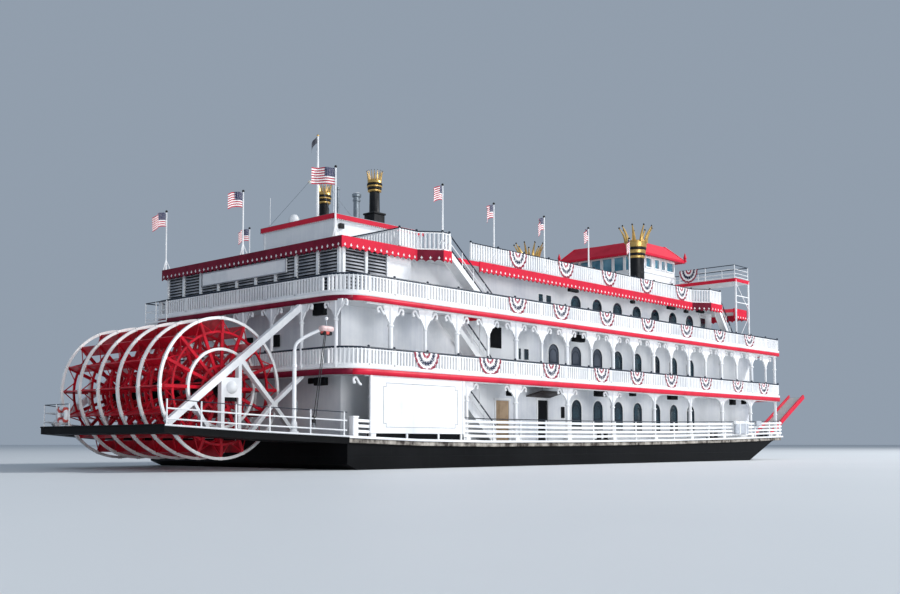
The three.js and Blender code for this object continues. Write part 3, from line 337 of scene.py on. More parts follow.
def plain_cloth(name, tone, shade):
    """Plain dyed nylon, a little darker where it is damp."""
    material, tree, shader, _ = cloth_base(name)
    place = add_node(tree, "TexCoord")
    damp = add_node(tree, "TexNoise", {"Scale": 3}, {"Vector": (place, "UV")})
    skin = blend_colours(tree, (damp, "Fac"), tone, shade)
    wire(tree, shader, skin)
    return material


NAVY_CLOTH = plain_cloth("navy_pennant_nylon", "#1B2438", "#0E1420")


# Modelling steps

def clear():
    """Leaves nothing selected."""
    bpy.ops.object.select_all(action="DESELECT")


def choose(*pieces):
    """Selects pieces, with the first one active."""
    clear()
    for piece in pieces:
        piece.select_set(True)
    bpy.context.view_layer.objects.active = pieces[0]
    return pieces[0]


def settle(piece, material):
    """Moves a piece's place into its mesh and paints it."""
    choose(piece)
    bpy.ops.object.transform_apply(location=True, rotation=True, scale=True)
    piece.data.materials.clear()
    piece.data.materials.append(material)
    return piece


def block(low, high, material, ease=0, segments=1):
    """A squared bar or plate between two corners, with its edges eased by a width."""
    a, b = at(*low), at(*high)
    clear()
    bpy.ops.mesh.primitive_cube_add(size=1, location=(a + b) / 2)
    piece = bpy.context.object
    piece.scale = [abs(side) for side in b - a]
    settle(piece, material)
    return eased(piece, ease, segments) if ease else piece


def pillar(middle, half_s, half_y, low, high, material, ease=0, segments=1):
    """A squared block about an upright line."""
    s, y = middle
    return block((s - half_s, y - half_y, low), (s + half_s, y + half_y, high), material, ease, segments)


def pipe(start, end, radius, material, sides=12, taper=1.0):
    """A straight pipe or tapered pole between two points."""
    a, b = at(*start), at(*end)
    clear()
    bpy.ops.mesh.primitive_cone_add(vertices=sides, radius1=radius * SCALE, radius2=radius * taper * SCALE,
                                    depth=(b - a).length, location=(a + b) / 2,
                                    rotation=(b - a).to_track_quat("Z", "Y").to_euler())
    return smooth(settle(bpy.context.object, material))


def upright(middle, low, high, radius, material, sides=12, taper=1.0):
    """An upright pipe."""
    return pipe((*middle, low), (*middle, high), radius, material, sides, taper)


def ball(centre, radius, material, segments=12):
    """A small round knob."""
    clear()
    bpy.ops.mesh.primitive_uv_sphere_add(segments=segments, ring_count=segments // 2, radius=radius * SCALE,
                                         location=at(*centre))
    return smooth(settle(bpy.context.object, material))


def smooth(piece, degrees=35):
    """Shades faces that meet at less than an angle as one surface."""
    choose(piece)
    bpy.ops.object.shade_smooth_by_angle(angle=math.radians(degrees))
    return piece


def turned(centre, profile, material, sides=24, turn=0.0):
    """A round piece about an upright axis: a disc drawn up and resized through rings of radius and height."""
    s, y = centre
    radius, height = profile[0]
    clear()
    bpy.ops.mesh.primitive_circle_add(vertices=sides, radius=radius * SCALE, fill_type="NGON",
                                      location=at(s, y, height), rotation=(0, 0, turn))
    piece = settle(bpy.context.object, material)
    bpy.ops.object.mode_set(mode="EDIT")
    bpy.ops.mesh.select_all(action="SELECT")
    for new_radius, new_height in profile[1:]:
        rise = (0, 0, (new_height - height) * SCALE)
        bpy.ops.mesh.extrude_region_move(TRANSFORM_OT_translate={"value": rise})
        grow = new_radius / radius
        bpy.ops.transform.resize(value=(grow, grow, 1), center_override=at(s, y, new_height))
        radius, height = new_radius, new_height
    bpy.ops.mesh.select_all(action="SELECT")
    bpy.ops.mesh.normals_make_consistent(inside=False)
    bpy.ops.object.mode_set(mode="OBJECT")
    return smooth(piece)


# Where a drawing's right, up and outward directions point, as the columns of a matrix
VIEWS = {
    "side": Matrix(((1, 0, 0), (0, 0, -1), (0, 1, 0))),
    "plan": Matrix(((1, 0, 0), (0, 1, 0), (0, 0, 1))),
    "front": Matrix(((0, 0, 1), (1, 0, 0), (0, 1, 0))),
}


def drawn(view, outline, near, far, material, holes=()):
    """A plate cut to an outline. A side drawing is in s and z, a plan in s and y, a front drawing in y and z.
    near and far are where its two faces lie along the third direction."""
    third = (near + far) / 2
    to_point = {
        "side": lambda p: at(p[0], 0, p[1]).xz,
        "plan": lambda p: at(p[0], p[1], 0).xy,
        "front": lambda p: at(0, p[0], p[1]).yz,
    }[view]
    offset = {"side": at(MIDSHIP, third, -DRAFT), "plan": at(MIDSHIP, 0, third),
              "front": at(third, 0, -DRAFT)}[view]
    curve = bpy.data.curves.new("outline", "CURVE")
    curve.dimensions = "2D"
    curve.fill_mode = "BOTH"
    curve.extrude = abs(far - near) * SCALE / 2
    for loop in (outline, *holes):
        spline = curve.splines.new("POLY")
        spline.points.add(len(loop) - 1)
        for point, corner in zip(spline.points, loop):
            point.co = (*to_point(corner), 0, 1)
        spline.use_cyclic_u = True
    piece = bpy.data.objects.new("outline", curve)
    bpy.context.collection.objects.link(piece)
    choose(piece)
    bpy.ops.object.convert(target="MESH")
    piece = bpy.context.object
    piece.matrix_world = Matrix.Translation(offset) @ VIEWS[view].to_4x4()
    return mended(settle(piece, material))


def mended(piece, gap=1e-5):
    """Merges a mesh's doubles and turns its faces outwards."""
    choose(piece)
    bpy.ops.object.mode_set(mode="EDIT")
    bpy.ops.mesh.select_all(action="SELECT")
    bpy.ops.mesh.remove_doubles(threshold=gap)
    bpy.ops.mesh.normals_make_consistent(inside=False)
    bpy.ops.object.mode_set(mode="OBJECT")
    return piece


def tube_curve(name, places, radius, resolution, kind="POLY"):
    """A round curve object through places of the model, with closed ends."""
    curve = bpy.data.curves.new(name, "CURVE")
    curve.dimensions = "3D"
    curve.bevel_depth = radius
    curve.bevel_resolution = resolution
    curve.use_fill_caps = True
    spline = curve.splines.new(kind)
    spline.points.add(len(places) - 1)
    for point, place in zip(spline.points, places):
        point.co = (*place, 1)
    piece = bpy.data.objects.new(name, curve)
    bpy.context.collection.objects.link(piece)
    return piece


def bent(points, radius, material, sides=8, flowing=False):
    """A pipe bent through points, with closed ends. A flowing one is a smooth curve near them."""
    piece = tube_curve("bent", [at(*place) for place in points], radius * SCALE, sides // 2 - 2,
                       "NURBS" if flowing else "POLY")
    piece.data.resolution_u = 4
    if flowing:
        piece.data.splines[0].order_u = 4
        piece.data.splines[0].use_endpoint_u = True
    choose(piece)
    bpy.ops.object.convert(target="MESH")
    return smooth(mended(settle(bpy.context.object, material)))


def hoop(y, outer, inner, half, material, steps=72):
    """A ring of squared section round the wheel's axis, spun from its section."""
    middle = (outer + inner) / 2
    clear()
    bpy.ops.mesh.primitive_plane_add(size=1, location=at(WHEEL_S, y, WHEEL_Z + middle),
                                     rotation=(0, math.pi / 2, 0))
    piece = bpy.context.object
    piece.scale = ((outer - inner) * SCALE, 2 * half * SCALE, 1)
    settle(piece, material)
    bpy.ops.object.mode_set(mode="EDIT")
    bpy.ops.mesh.select_all(action="SELECT")
    bpy.ops.mesh.delete(type="ONLY_FACE")
    bpy.ops.mesh.select_all(action="SELECT")
    bpy.ops.mesh.spin(steps=steps, angle=2 * math.pi, center=at(WHEEL_S, y, WHEEL_Z), axis=(0, 1, 0))
    bpy.ops.object.mode_set(mode="OBJECT")
    return smooth(mended(piece, 1e-4), 30)


def joined(name, *pieces):
    """Joins pieces into the first one."""
    flat = [piece for group in pieces for piece in (group if isinstance(group, (list, tuple)) else [group])]
    choose(*flat)
    if len(flat) > 1:
        bpy.ops.object.join()
    flat[0].name = name
    flat[0].data.name = name
    return flat[0]


def modified(piece, kind, **settings):
    """Adds a modifier and applies it."""
    choose(piece)
    modifier = piece.modifiers.new(kind, kind)
    for setting, value in settings.items():
        setattr(modifier, setting, value)
    bpy.ops.object.modifier_apply(modifier=modifier.name)
    return piece


def repeated(piece, count, step):
    """A row of a piece, each one step further on."""
    return modified(piece, "ARRAY", count=count, use_relative_offset=False, use_constant_offset=True,
                    constant_offset_displace=Vector(step) * SCALE)


def both_sides(piece):
    """The piece and its mirror image across the keel line."""
    return mended(modified(piece, "MIRROR", use_axis=(False, True, False), use_mirror_merge=False))


def eased(piece, width, segments=1):
    """Takes the sharpness off a piece's edges."""
    return modified(piece, "BEVEL", width=width * SCALE, segments=segments, limit_method="ANGLE",
                    angle_limit=math.radians(40))


def copied(piece, change=Matrix.Identity(4)):
    """A copy with its own mesh, moved by a matrix of the model's space."""
    twin = piece.copy()
    twin.data = piece.data.copy()
    bpy.context.collection.objects.link(twin)
    twin.data.transform(change)
    return twin


def shifted(s=0, y=0, z=0):
    """A move by full-size metres."""
    return Matrix.Translation(Vector((s, y, z)) * SCALE)


def about(centre, axis, degrees):
    """A turn about an axis through a point of the vessel."""
    middle = at(*centre)
    turn = Matrix.Rotation(math.radians(degrees), 4, axis)
    return Matrix.Translation(middle) @ turn @ Matrix.Translation(-middle)


def dress(piece, body="ship", instead_of=()):
    """Gives a finished piece its body, and hides the solids that it stands for."""
    if instead_of:
        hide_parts(*instead_of)
    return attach(piece, body)


def node_paint(material, *names):
    """Paints solids that stay in view."""
    for name in names:
        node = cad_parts[name]
        node.data.materials.clear()
        node.data.materials.append(material)


def along_sheer(s0, s1, low, high, near, far, material):
    """A strip that follows the main deck between two heights over it."""
    stations = [s0, *(s for s in SHEER_STATIONS if s0 + 0.01 < s < s1 - 0.01), s1]
    bottom = [(s, deck_height(s) + low) for s in stations]
    top = [(s, deck_height(s) + high) for s in reversed(stations)]
    return drawn("side", bottom + top, near, far, material)


# Hull and decks
node_paint(HULL_BLACK, "hull", "fantail_guard", "rudder_starboard", "rudder_port")
node_paint(DECK_GREY, "main_deck")
node_paint(BAND, "second_deck", "third_deck")
node_paint(HOUSE_WHITE, "main_house", "saloon_house", "texas_house", "roof_house", "pilothouse")
node_paint(WHITE, "wheel_truss_starboard", "wheel_truss_port", "texas_door_starboard", "texas_door_port")
node_paint(DOOR_TAN, "main_door_starboard", "main_door_port")
node_paint(CAB_GLASS, "pilothouse_glass")
node_paint(LOUVRE_GREY, "louvre_room")


def hull_trim():
    """The timber strake under the deck's edge, the white lip over it and dark boards under the panels:
    painted shade in the gap under them.
    """
    strake = eased(along_sheer(TRANSOM, 58.55, -0.34, -0.11, 9.24, 9.36, STRAKE_TAN), 0.03)
    lip = eased(along_sheer(TRANSOM, DECK_BOW - 0.05, -0.1, 0.03, 9.38, 9.43, WHITE), 0.015)
    dress(both_sides(joined("rubbing_strake", strake)))
    # A dark strip in the gap under the panels: painted shade
    dress(both_sides(joined("painted_shade_under_panel", along_sheer(PANEL_AFT, PANEL_FORWARD - 0.1, 0.04, 0.36, 9.08,
                                                            9.12, BLACK_AND_PAINTED_SHADE))))
    guard_edge = []
    for a, b in ((0, 4), (4, TRANSOM)):
        ends = [(s, FANTAIL_HALF + (DECK_HALF - FANTAIL_HALF) * s / TRANSOM + 0.02, deck_height(s) - 0.02)
                for s in (a, b)]
        guard_edge.append(pipe(*ends, 0.045, WHITE, sides=8))
    aft_edge = pipe((0, -FANTAIL_HALF, deck_height(0) - 0.02), (0, FANTAIL_HALF, deck_height(0) - 0.02),
                    0.045, HULL_BLACK, sides=8)
    dress(joined("deck_edge_lip", both_sides(joined("lip", lip, guard_edge)), aft_edge))


# Roof deck and its scalloped valance
SCALLOP = 0.44
SCALLOP_RISE = 0.11
ROOF_AFT = 9.2
ROOF_FORWARD = 53.4
ROOF_PORT = 8.9
LANDING = 9.2
ROOF_BOW = 8.95
STERN_POLES = (-7.61, 0.58, 8.7)
# Where the roof's edge splays out to the landings at the heads of the outer flights, and where it goes back
AFT_SPLAY = 14.93
AFT_CORNER = 16.1
AFT_HEAD = 16.8
BOW_SPLAY = 45.73
BOW_CORNER = 46.97
BOW_HEAD = 48.75
BOW_WIDE = 51.2
# The roof's edge in plan on one side, from the stern forward
ROOF_SIDE = ((AFT_SPLAY, ROOF_HALF), (AFT_CORNER, LANDING), (AFT_HEAD, LANDING), (AFT_HEAD, ROOF_HALF),
             (BOW_SPLAY, ROOF_HALF), (BOW_CORNER, LANDING), (BOW_HEAD, LANDING), (BOW_HEAD, ROOF_HALF),
             (BOW_WIDE, ROOF_HALF), (BOW_WIDE, ROOF_BOW), (ROOF_FORWARD, ROOF_BOW))


def scalloped(view, start, end, top, drop, near, far, pitch=SCALLOP, rise=SCALLOP_RISE, material=CRIMSON):
    """A hanging strip whose lower edge is a row of small arches with pointed tips between them."""
    count = max(1, round((end - start) / pitch))
    edge = []
    for k in range(count):
        for share in (0, 0.13, 0.32, 0.5, 0.68, 0.87):
            rounded = math.sin(math.pi * share) ** 0.75
            edge.append((start + (end - start) * (k + share) / count, top - drop + rise * rounded))
    edge.append((end, top - drop))
    return drawn(view, edge + [(end, top), (start, top)], near, far, material)


# Half the outline of a leaf mark
FLEUR = ((0, 0), (0.028, 0.032), (0.02, 0.064), (0.06, 0.056), (0.076, 0.088), (0.048, 0.112), (0.02, 0.096),
         (0.028, 0.136), (0, 0.185))


def fleurs(end, foot, near, far):
    """A row of small white leaf marks along s from 0, one over each arch of a valance."""
    count = max(1, round(end / SCALLOP))
    pitch = end / count
    half = [(pitch / 2 + x, foot + z) for x, z in FLEUR]
    mirror = [(pitch / 2 - x, foot + z) for x, z in reversed(FLEUR[1:-1])]
    return repeated(drawn("side", half + mirror, near, far, WHITE), count, (pitch, 0, 0))


def laid(piece, start, end):
    """Turns a piece made along s from 0, with starboard as its outside, to run between two points in plan."""
    turn = math.atan2(end[1] - start[1], end[0] - start[0])
    move = Matrix.Translation(at(*start, -DRAFT)) @ Matrix.Rotation(turn, 4, "Z")
    piece.data.transform(move @ Matrix.Translation(-at(0, 0, -DRAFT)))
    return piece


def valance(points, drop, material=CRIMSON):
    """Scalloped boards with their marks under the roof's edge, their outside on the right of the line."""
    made = []
    for a, b in zip(points, points[1:]):
        length = math.dist(a, b)
        strip = [scalloped("side", 0, length, ROOF_DECK + 0.04, drop + 0.04, -0.02, 0.05, material=material),
                 fleurs(length, ROOF_DECK - drop + 0.13, -0.035, -0.02)]
        made.append(laid(joined("valance", strip), a, b))
    return made


def roof_deck():
    """Roof plating, valances with their marks and the stern flagpoles, in place of the solid."""
    starboard = [(ROOF_AFT, -ROOF_HALF), *((s, -y) for s, y in ROOF_SIDE)]
    port = [(ROOF_AFT, ROOF_PORT), (AFT_SPLAY, ROOF_PORT), *ROOF_SIDE[1:]]
    plate = drawn("plan", starboard + port[::-1], ROOF_DECK - SLAB, ROOF_DECK, BAND)
    stern = [(AFT_HEAD, LANDING), (AFT_CORNER, LANDING), (AFT_SPLAY, ROOF_PORT), (ROOF_AFT, ROOF_PORT),
             (ROOF_AFT, -ROOF_HALF), (AFT_SPLAY, -ROOF_HALF), (AFT_CORNER, -LANDING), (AFT_HEAD, -LANDING)]
    side = [(20.34, -ROOF_HALF), (BOW_SPLAY, -ROOF_HALF), (BOW_CORNER, -LANDING), (BOW_HEAD, -LANDING)]
    bow = [(BOW_WIDE, -ROOF_BOW), (ROOF_FORWARD, -ROOF_BOW), (ROOF_FORWARD, ROOF_BOW), (BOW_WIDE, ROOF_BOW)]
    boards = valance(bow, 0.85)
    for line in (stern[:2], stern[2:4], stern[4:6], stern[6:], side[:2], side[2:]):
        boards += valance(line, 0.64)
    # Boards that face aft are a darker red: painted shade
    for line in (stern[1:3], stern[3:5], stern[5:7], side[1:3]):
        boards += valance(line, 0.64, SHADED_CRIMSON)
    boards += valance([(s, -y) for s, y in reversed(side)], 0.64)
    poles = [flagpole(ROOF_AFT + 0.12, y, ROOF_DECK - 0.1) for y in STERN_POLES]
    dress(joined("roof_deck_plating", plate, boards, poles), instead_of=["roof_deck"])


POLE_TOP = 16.2


def flagpole(s, y, foot):
    """A tapered white pole with a dark ball and a three-legged foot."""
    pole = upright((s, y), foot, POLE_TOP - 0.04, 0.06, WHITE, sides=10, taper=0.7)
    truck = ball((s, y, POLE_TOP), 0.08, STACK_BLACK)
    legs = []
    for degrees in (90, 210, 330):
        angle = math.radians(degrees)
        base = (s + 0.3 * math.cos(angle), y + 0.3 * math.sin(angle), max(foot, ROOF_DECK) + 0.02)
        legs.append(pipe(base, (s, y, ROOF_DECK + 0.75), 0.025, WHITE, sides=6))
    return joined("flagpole", pole, truck, legs)


# Houses: windows, doorways, louvres
TRIM_BACK = 6.88
WINDOW_HALF = 0.6
FIRST_WINDOW = 29.5


def arch(s, sill, top, half, steps=14):
    """The outline of a round-headed window."""
    spring = top - WINDOW_HALF
    head = [(s + half * math.cos(math.pi * k / steps), spring + half * math.sin(math.pi * k / steps))
            for k in range(steps + 1)]
    return [(s - half, sill), (s + half, sill), *head]


def window_row(name, first, count, sill, top, glass=GLASS):
    """A row of arched windows on both sides: moulded trim, dark sash, glazing bars, glass and sill."""
    trim = drawn("side", arch(first, sill - 0.04, top, WINDOW_HALF + 0.09), TRIM_BACK, 6.93, WHITE,
                 holes=[arch(first, sill + 0.02, top, WINDOW_HALF - 0.01)])
    sash = drawn("side", arch(first, sill, top, WINDOW_HALF + 0.01), 6.86, 6.915, RAIL_DARK,
                 holes=[arch(first, sill + 0.1, top, WINDOW_HALF - 0.08)])
    inner = drawn("side", arch(first, sill + 0.72, top - 0.14, WINDOW_HALF - 0.18), 6.87, 6.895, RAIL_DARK,
                  holes=[arch(first, sill + 0.78, top - 0.14, WINDOW_HALF - 0.225)])
    pane = drawn("side", arch(first, sill + 0.02, top, WINDOW_HALF - 0.02), 6.84, 6.875, glass)
    ledge = block((first - 0.76, 6.86, sill - 0.1), (first + 0.76, 7.02, sill - 0.02), WHITE, 0.02)
    window = joined(name, trim, sash, inner, pane, ledge)
    dress(both_sides(repeated(window, count, (BAY, 0, 0))))


# Middle in s and z, half width and half height
SMALL_WINDOWS = ((28.08, 11.02, 0.22, 0.31), (28.95, 11.02, 0.25, 0.31), (25.83, 7.19, 0.1, 0.35),
                 (26.52, 7.19, 0.22, 0.35))


def small_windows():
    """Small square windows of both upper houses: trim, sash and glass."""
    made = []
    for s, z, half, tall in SMALL_WINDOWS:
        made.append(block((s - half - 0.07, TRIM_BACK, z - tall - 0.07),
                          (s + half + 0.07, 6.93, z + tall + 0.07), WHITE, 0.02))
        made.append(block((s - half, 6.9, z - tall), (s + half, 6.945, z + tall), GLASS))
        made.append(block((s - half, 6.92, z - 0.025), (s + half, 6.96, z + 0.025), RAIL_DARK))
    made.append(block((22.8, TRIM_BACK, 7.34), (24.03, 6.93, 8.82), WHITE, 0.02))
    made.append(block((22.87, 6.9, 7.41), (23.96, 6.945, 8.75), BLACK_AND_PAINTED_SHADE))
    dress(both_sides(joined("small_windows", made)))


# Doorways of the houses (s and z, from and to)
DOORWAYS = ((23.4, 24.7, 1.6, 4.1), (27.7, 28.8, 1.6, 4.24), (49.25, 50.25, THIRD_DECK, 11.8))


def doorways():
    """Frames round the doorways, dark boards within the open ones as painted shade of the rooms behind, door
    knobs and the canopy.
    """
    frames = []
    for s0, s1, low, top in DOORWAYS:
        for a, b in ((s0 - 0.12, s0), (s1, s1 + 0.12)):
            frames.append(block((a, TRIM_BACK, low), (b, 6.96, top), WHITE))
        frames.append(block((s0 - 0.18, TRIM_BACK, top), (s1 + 0.18, 6.99, top + 0.16), WHITE, 0.02))
    # Painted shade: a dark board inside the open doorway
    frames.append(block((27.7, 6.82, 1.6), (28.8, 6.87, 4.24), BLACK_AND_PAINTED_SHADE))
    frames.append(block((30.3, TRIM_BACK, 3.1), (30.62, 7.0, 3.86), BLACK_AND_PAINTED_SHADE, 0.02))
    dress(both_sides(joined("doorway_frames", frames)))
    slope = [(-6.9, 4.42), (-8.2, 4.74), (-8.2, 4.8), (-6.9, 4.5)]
    canopy = eased(drawn("front", slope, 26.5, 29.1, CANOPY_BROWN), 0.015)
    stays = [upright((s, -8.1), 4.76, 5.08, 0.02, GALVANISED, sides=6) for s in (26.7, 28.9)]
    dress(both_sides(joined("doorway_canopy", canopy, stays)))
    for side, sign in SIDES.items():
        knob = joined(f"door_furniture_{side}", ball((23.55, sign * 6.94, 2.6), 0.05, GALVANISED),
                      block((23.75, sign * 6.905, 1.75), (24.45, sign * 6.925, 2.75), DOOR_TAN, 0.01),
                      block((23.75, sign * 6.905, 2.95), (24.45, sign * 6.925, 3.9), DOOR_TAN, 0.01))
        dress(knob, body=f"main_door_{side}")
        pane = block((49.36, sign * 6.905, 9.4), (50.14, sign * 6.92, 11.6), GLASS, 0.008)
        dress(joined(f"texas_door_pane_{side}", pane), body=f"texas_door_{side}")


# Louvred room: its ends, its two sides, the width of its posts and its top
LOUVRE_AFT = 9.5
LOUVRE_FORWARD = 14.7
LOUVRE_STARBOARD = 7.9
LOUVRE_PORT = 8.6
LOUVRE_POST = 0.2
LOUVRE_TOP = ROOF_DECK - SLAB


def louvred_wall(start, end, bays):
    """Louvred bays between two points in plan: sloping slats between white posts, a sill and a head."""
    length = math.dist(start, end)
    pitch = length / bays
    low, high, count = THIRD_DECK + 0.14, LOUVRE_TOP - 0.1, 14
    slats = []
    for k in range(count):
        z = low + 0.04 + (high - low - 0.08) * k / count
        slope = [(-0.1, z - 0.01), (0, z + 0.132), (0, z + 0.1), (-0.085, z - 0.03), (-0.1, z - 0.03)]
        slats.append(drawn("front", slope, LOUVRE_POST / 2, pitch - LOUVRE_POST / 2, LOUVRE_GREY))
    # A dark sheet behind the slats: painted shade in the gaps between them
    slats.append(block((LOUVRE_POST / 2, -0.005, low), (pitch - LOUVRE_POST / 2, 0.005, high), BLACK_AND_PAINTED_SHADE))
    rows = repeated(joined("slats", slats), bays, (pitch, 0, 0))
    posts = []
    for k in range(bays + 1):
        middle = min(max(pitch * k, LOUVRE_POST / 2), length - LOUVRE_POST / 2)
        posts.append(block((middle - LOUVRE_POST / 2, -0.13, THIRD_DECK),
                           (middle + LOUVRE_POST / 2, 0, LOUVRE_TOP), WHITE, 0.012))
    posts.append(block((0, -0.12, THIRD_DECK), (length, 0, low), WHITE))
    posts.append(block((0, -0.12, high), (length, 0, LOUVRE_TOP), WHITE))
    return laid(joined("louvred_wall", rows, posts), start, end)


def louvres():
    """Louvred walls at the aft end of the third deck, the plain wall ahead of them and the stern board."""
    plain = LOUVRE_AFT + 3.46
    walls = [louvred_wall((LOUVRE_AFT, LOUVRE_PORT), (LOUVRE_AFT, -LOUVRE_STARBOARD), 9),
             louvred_wall((LOUVRE_AFT, -LOUVRE_STARBOARD), (plain, -LOUVRE_STARBOARD), 2),
             louvred_wall((plain, LOUVRE_PORT), (LOUVRE_AFT, LOUVRE_PORT), 2)]
    for near, far in ((-LOUVRE_STARBOARD - 0.03, -LOUVRE_STARBOARD), (LOUVRE_PORT, LOUVRE_PORT + 0.03)):
        walls.append(block((plain, near, THIRD_DECK), (LOUVRE_FORWARD, far, LOUVRE_TOP), HOUSE_WHITE))
    for near, far in ((-LOUVRE_STARBOARD - 0.03, -HOUSE_HALF), (HOUSE_HALF, LOUVRE_PORT + 0.03)):
        walls.append(block((LOUVRE_FORWARD, near, THIRD_DECK), (LOUVRE_FORWARD + 0.03, far, LOUVRE_TOP),
                           HOUSE_WHITE))
    dress(joined("louvre_slats", walls))
    near, far, low, high = -3.52, 4.6, 10.93, 11.74
    board = block((9.29, near, low), (9.37, far, high), WHITE, 0.02)
    rim = drawn("front", [(near, low), (far, low), (far, high), (near, high)], 9.26, 9.29, LOUVRE_GREY,
                holes=[[(near + 0.06, low + 0.06), (far - 0.06, low + 0.06), (far - 0.06, high - 0.06),
                        (near + 0.06, high - 0.06)]])
    dress(joined("stern_board", board, rim))


# Columns and their brackets: outlines of the funnel and the curl from the column's head, sideways and down
FUNNEL = ((0.1, -1.0), (0.15, -0.88), (0.24, -0.74), (0.35, -0.58), (0.45, -0.42), (0.52, -0.24),
          (0.56, -0.08), (0.57, 0))
CURL = ((0.44, -0.46), (0.58, -0.42), (0.68, -0.18), (0.8, -0.07), (0.95, -0.12), (1.0, -0.26), (0.92, -0.36))


def curl(s, y, top, spread, drop, sign):
    """An iron curl that leaves a bracket and rolls in under the deck, with a round end."""
    points = [(s + sign * x * spread, y, top + z * drop) for x, z in CURL]
    return [bent(points, 0.065, WHITE, sides=6, flowing=True), ball(points[-1], 0.1, WHITE, segments=6)]


def bracket_pair(s, top, spread=1.0, drop=1.0, y=COLUMN_LINE, solid=False):
    """A funnel-shaped plate round a column's head with an iron curl on each side, or two plain quarter-round
    plates."""
    if solid:
        curve = [(spread * (1 - math.cos(math.pi / 2 * k / 9)), -drop * (1 - math.sin(math.pi / 2 * k / 9)))
                 for k in range(10)]
    else:
        curve = [(x * spread, z * drop) for x, z in FUNNEL]
    outline = [(s + x, top + z) for x, z in curve] + [(s - x, top + z) for x, z in reversed(curve)]
    made = [drawn("side", outline, y - 0.05, y + 0.05, WHITE)]
    if not solid:
        for sign in (-1, 1):
            made += curl(s, y, top, spread, drop, sign)
    return made


def column(s, low, high, radius, y=COLUMN_LINE):
    """A turned column with a squared foot and neck mouldings."""
    foot = pillar((s, y), radius * 1.5, radius * 1.5, low, low + 0.22, WHITE, 0.02)
    shaft = turned((s, y), ((radius * 1.25, low + 0.2), (radius * 1.25, low + 0.28), (radius, low + 0.34),
                            (radius * 0.94, high - 1.15), (radius * 1.35, high - 1.1),
                            (radius * 1.35, high - 1.04), (radius * 0.94, high - 1.0), (radius * 0.94, high)),
                   WHITE, sides=14)
    return [foot, shaft]


# Stations of the second deck's columns
SECOND_COLUMNS = (12.0, 14.7, 17.35, 20.1, 22.75, 25.35, 28.0, 30.75, 33.35, 35.95, 38.55, 41.0, 43.55, 46.15,
                  48.65, 51.2, 53.8, 56.35)


LAST_COLUMN = 58.05
GIRDER_DEEP = 0.14


def girder(deck):
    """The girder on the column heads, under a deck's slab."""
    return block((10.2, 9.0, deck - SLAB - GIRDER_DEEP), (58.3, 9.2, deck - SLAB), WHITE, 0.02)


def second_deck_columns():
    """Nineteen columns a side, thick and thin in turn, each with its brackets, under a girder."""
    top = THIRD_DECK - SLAB - GIRDER_DEEP
    low = SECOND_DECK
    s = SECOND_COLUMNS[0]
    kinds = [joined("column", column(s, low, top, radius), bracket_pair(s, top)) for radius in (0.14, 0.09)]
    rows = [copied(kinds[k % 2], shifted(s=station - s)) for k, station in enumerate(SECOND_COLUMNS)]
    for kind in kinds:
        bpy.data.objects.remove(kind)
    last = column(LAST_COLUMN, low, top, 0.115)
    dress(both_sides(joined("second_deck_columns", rows, last, girder(THIRD_DECK))),
          instead_of=[f"columns_second_{side}" for side in SIDES])


# Stations of the main deck's columns, with curls and with plain brackets
SCROLLED_COLUMNS = (18.15, 22.7, 28.05, 33.25)
ARCHED_COLUMNS = (38.6, 43.7, 48.7, 53.5)


def main_deck_columns():
    """Main deck columns: funnels with curls aft and plain quarter-round brackets forward."""
    top = SECOND_DECK - SLAB - GIRDER_DEEP
    made = []
    for s in (10.6, *SCROLLED_COLUMNS, *ARCHED_COLUMNS, LAST_COLUMN):
        made += column(s, deck_height(s), top, 0.13)
    for s in SCROLLED_COLUMNS:
        made += bracket_pair(s, top, 1.05, 0.85)
    for s in ARCHED_COLUMNS:
        made += bracket_pair(s, top, 1.25, solid=True)
    made += curl(10.3, COLUMN_LINE, top, 1, 1, -1)
    made.append(girder(SECOND_DECK))
    dress(both_sides(joined("main_deck_columns", made)),
          instead_of=[f"columns_main_{side}" for side in SIDES])


# Railings
BALUSTER_PITCH = BAY / 11


def baluster(s, y, base):
    """One squared baluster, a little slimmer at its ends."""
    return turned((s, y), ((0.07, base + 0.1), (0.078, base + 0.35), (0.078, base + RAIL_HEIGHT - 0.3),
                           (0.066, base + RAIL_HEIGHT - 0.04)), WHITE, sides=4, turn=math.pi / 4)


def baluster_run(start, end, base):
    """Balusters between two points of a straight run, about a pitch apart."""
    length = math.dist(start, end)
    count = max(1, round(length / BALUSTER_PITCH))
    step = [(b - a) / count for a, b in zip(start, end)]
    return repeated(baluster(start[0], start[1], base), count, (*step, 0))


def rail_band(points, base, low, high, half, material):
    """A squared rail along a line in plan, as a strip of its width."""
    def normal(a, b):
        length = math.dist(a, b)
        return (-(b[1] - a[1]) / length, (b[0] - a[0]) / length)
    sides = [[], []]
    for k, point in enumerate(points):
        before = normal(points[max(k - 1, 0)], points[max(k, 1)])
        after = normal(points[min(k, len(points) - 2)], points[min(k + 1, len(points) - 1)])
        share = 1 + before[0] * after[0] + before[1] * after[1]
        for side, sign in zip(sides, (1, -1)):
            side.append(tuple(point[i] + sign * half * (before[i] + after[i]) / share for i in (0, 1)))
    return drawn("plan", sides[0] + sides[1][::-1], base + low, base + high, material)


def knobs(places, base):
    """Newels with round caps at the handrail's joints."""
    made = []
    for s, y in places:
        made.append(pillar((s, y), 0.05, 0.05, base, base + RAIL_HEIGHT, WHITE))
        made.append(ball((s, y, base + RAIL_HEIGHT + 0.06), 0.075, RAIL_DARK, segments=8))
    return made


# Rail across the stern, the columns along it, and the round corner that leads to the side rails
STERN_LINE = 8.6
STERN_COLUMNS = (-8.35, -5.75, -3.15, -0.55, 2.05, 4.65, 7.25)
CORNER_CENTRE = (10.2, 7.7)
CORNER_RADIUS = 1.6


def corner_points(radius=CORNER_RADIUS, steps=8):
    """The port corner of the stern in plan, from the side to the stern."""
    return [(CORNER_CENTRE[0] - radius * math.sin(math.pi / 2 * k / steps),
             CORNER_CENTRE[1] + radius * math.cos(math.pi / 2 * k / steps)) for k in range(steps + 1)]


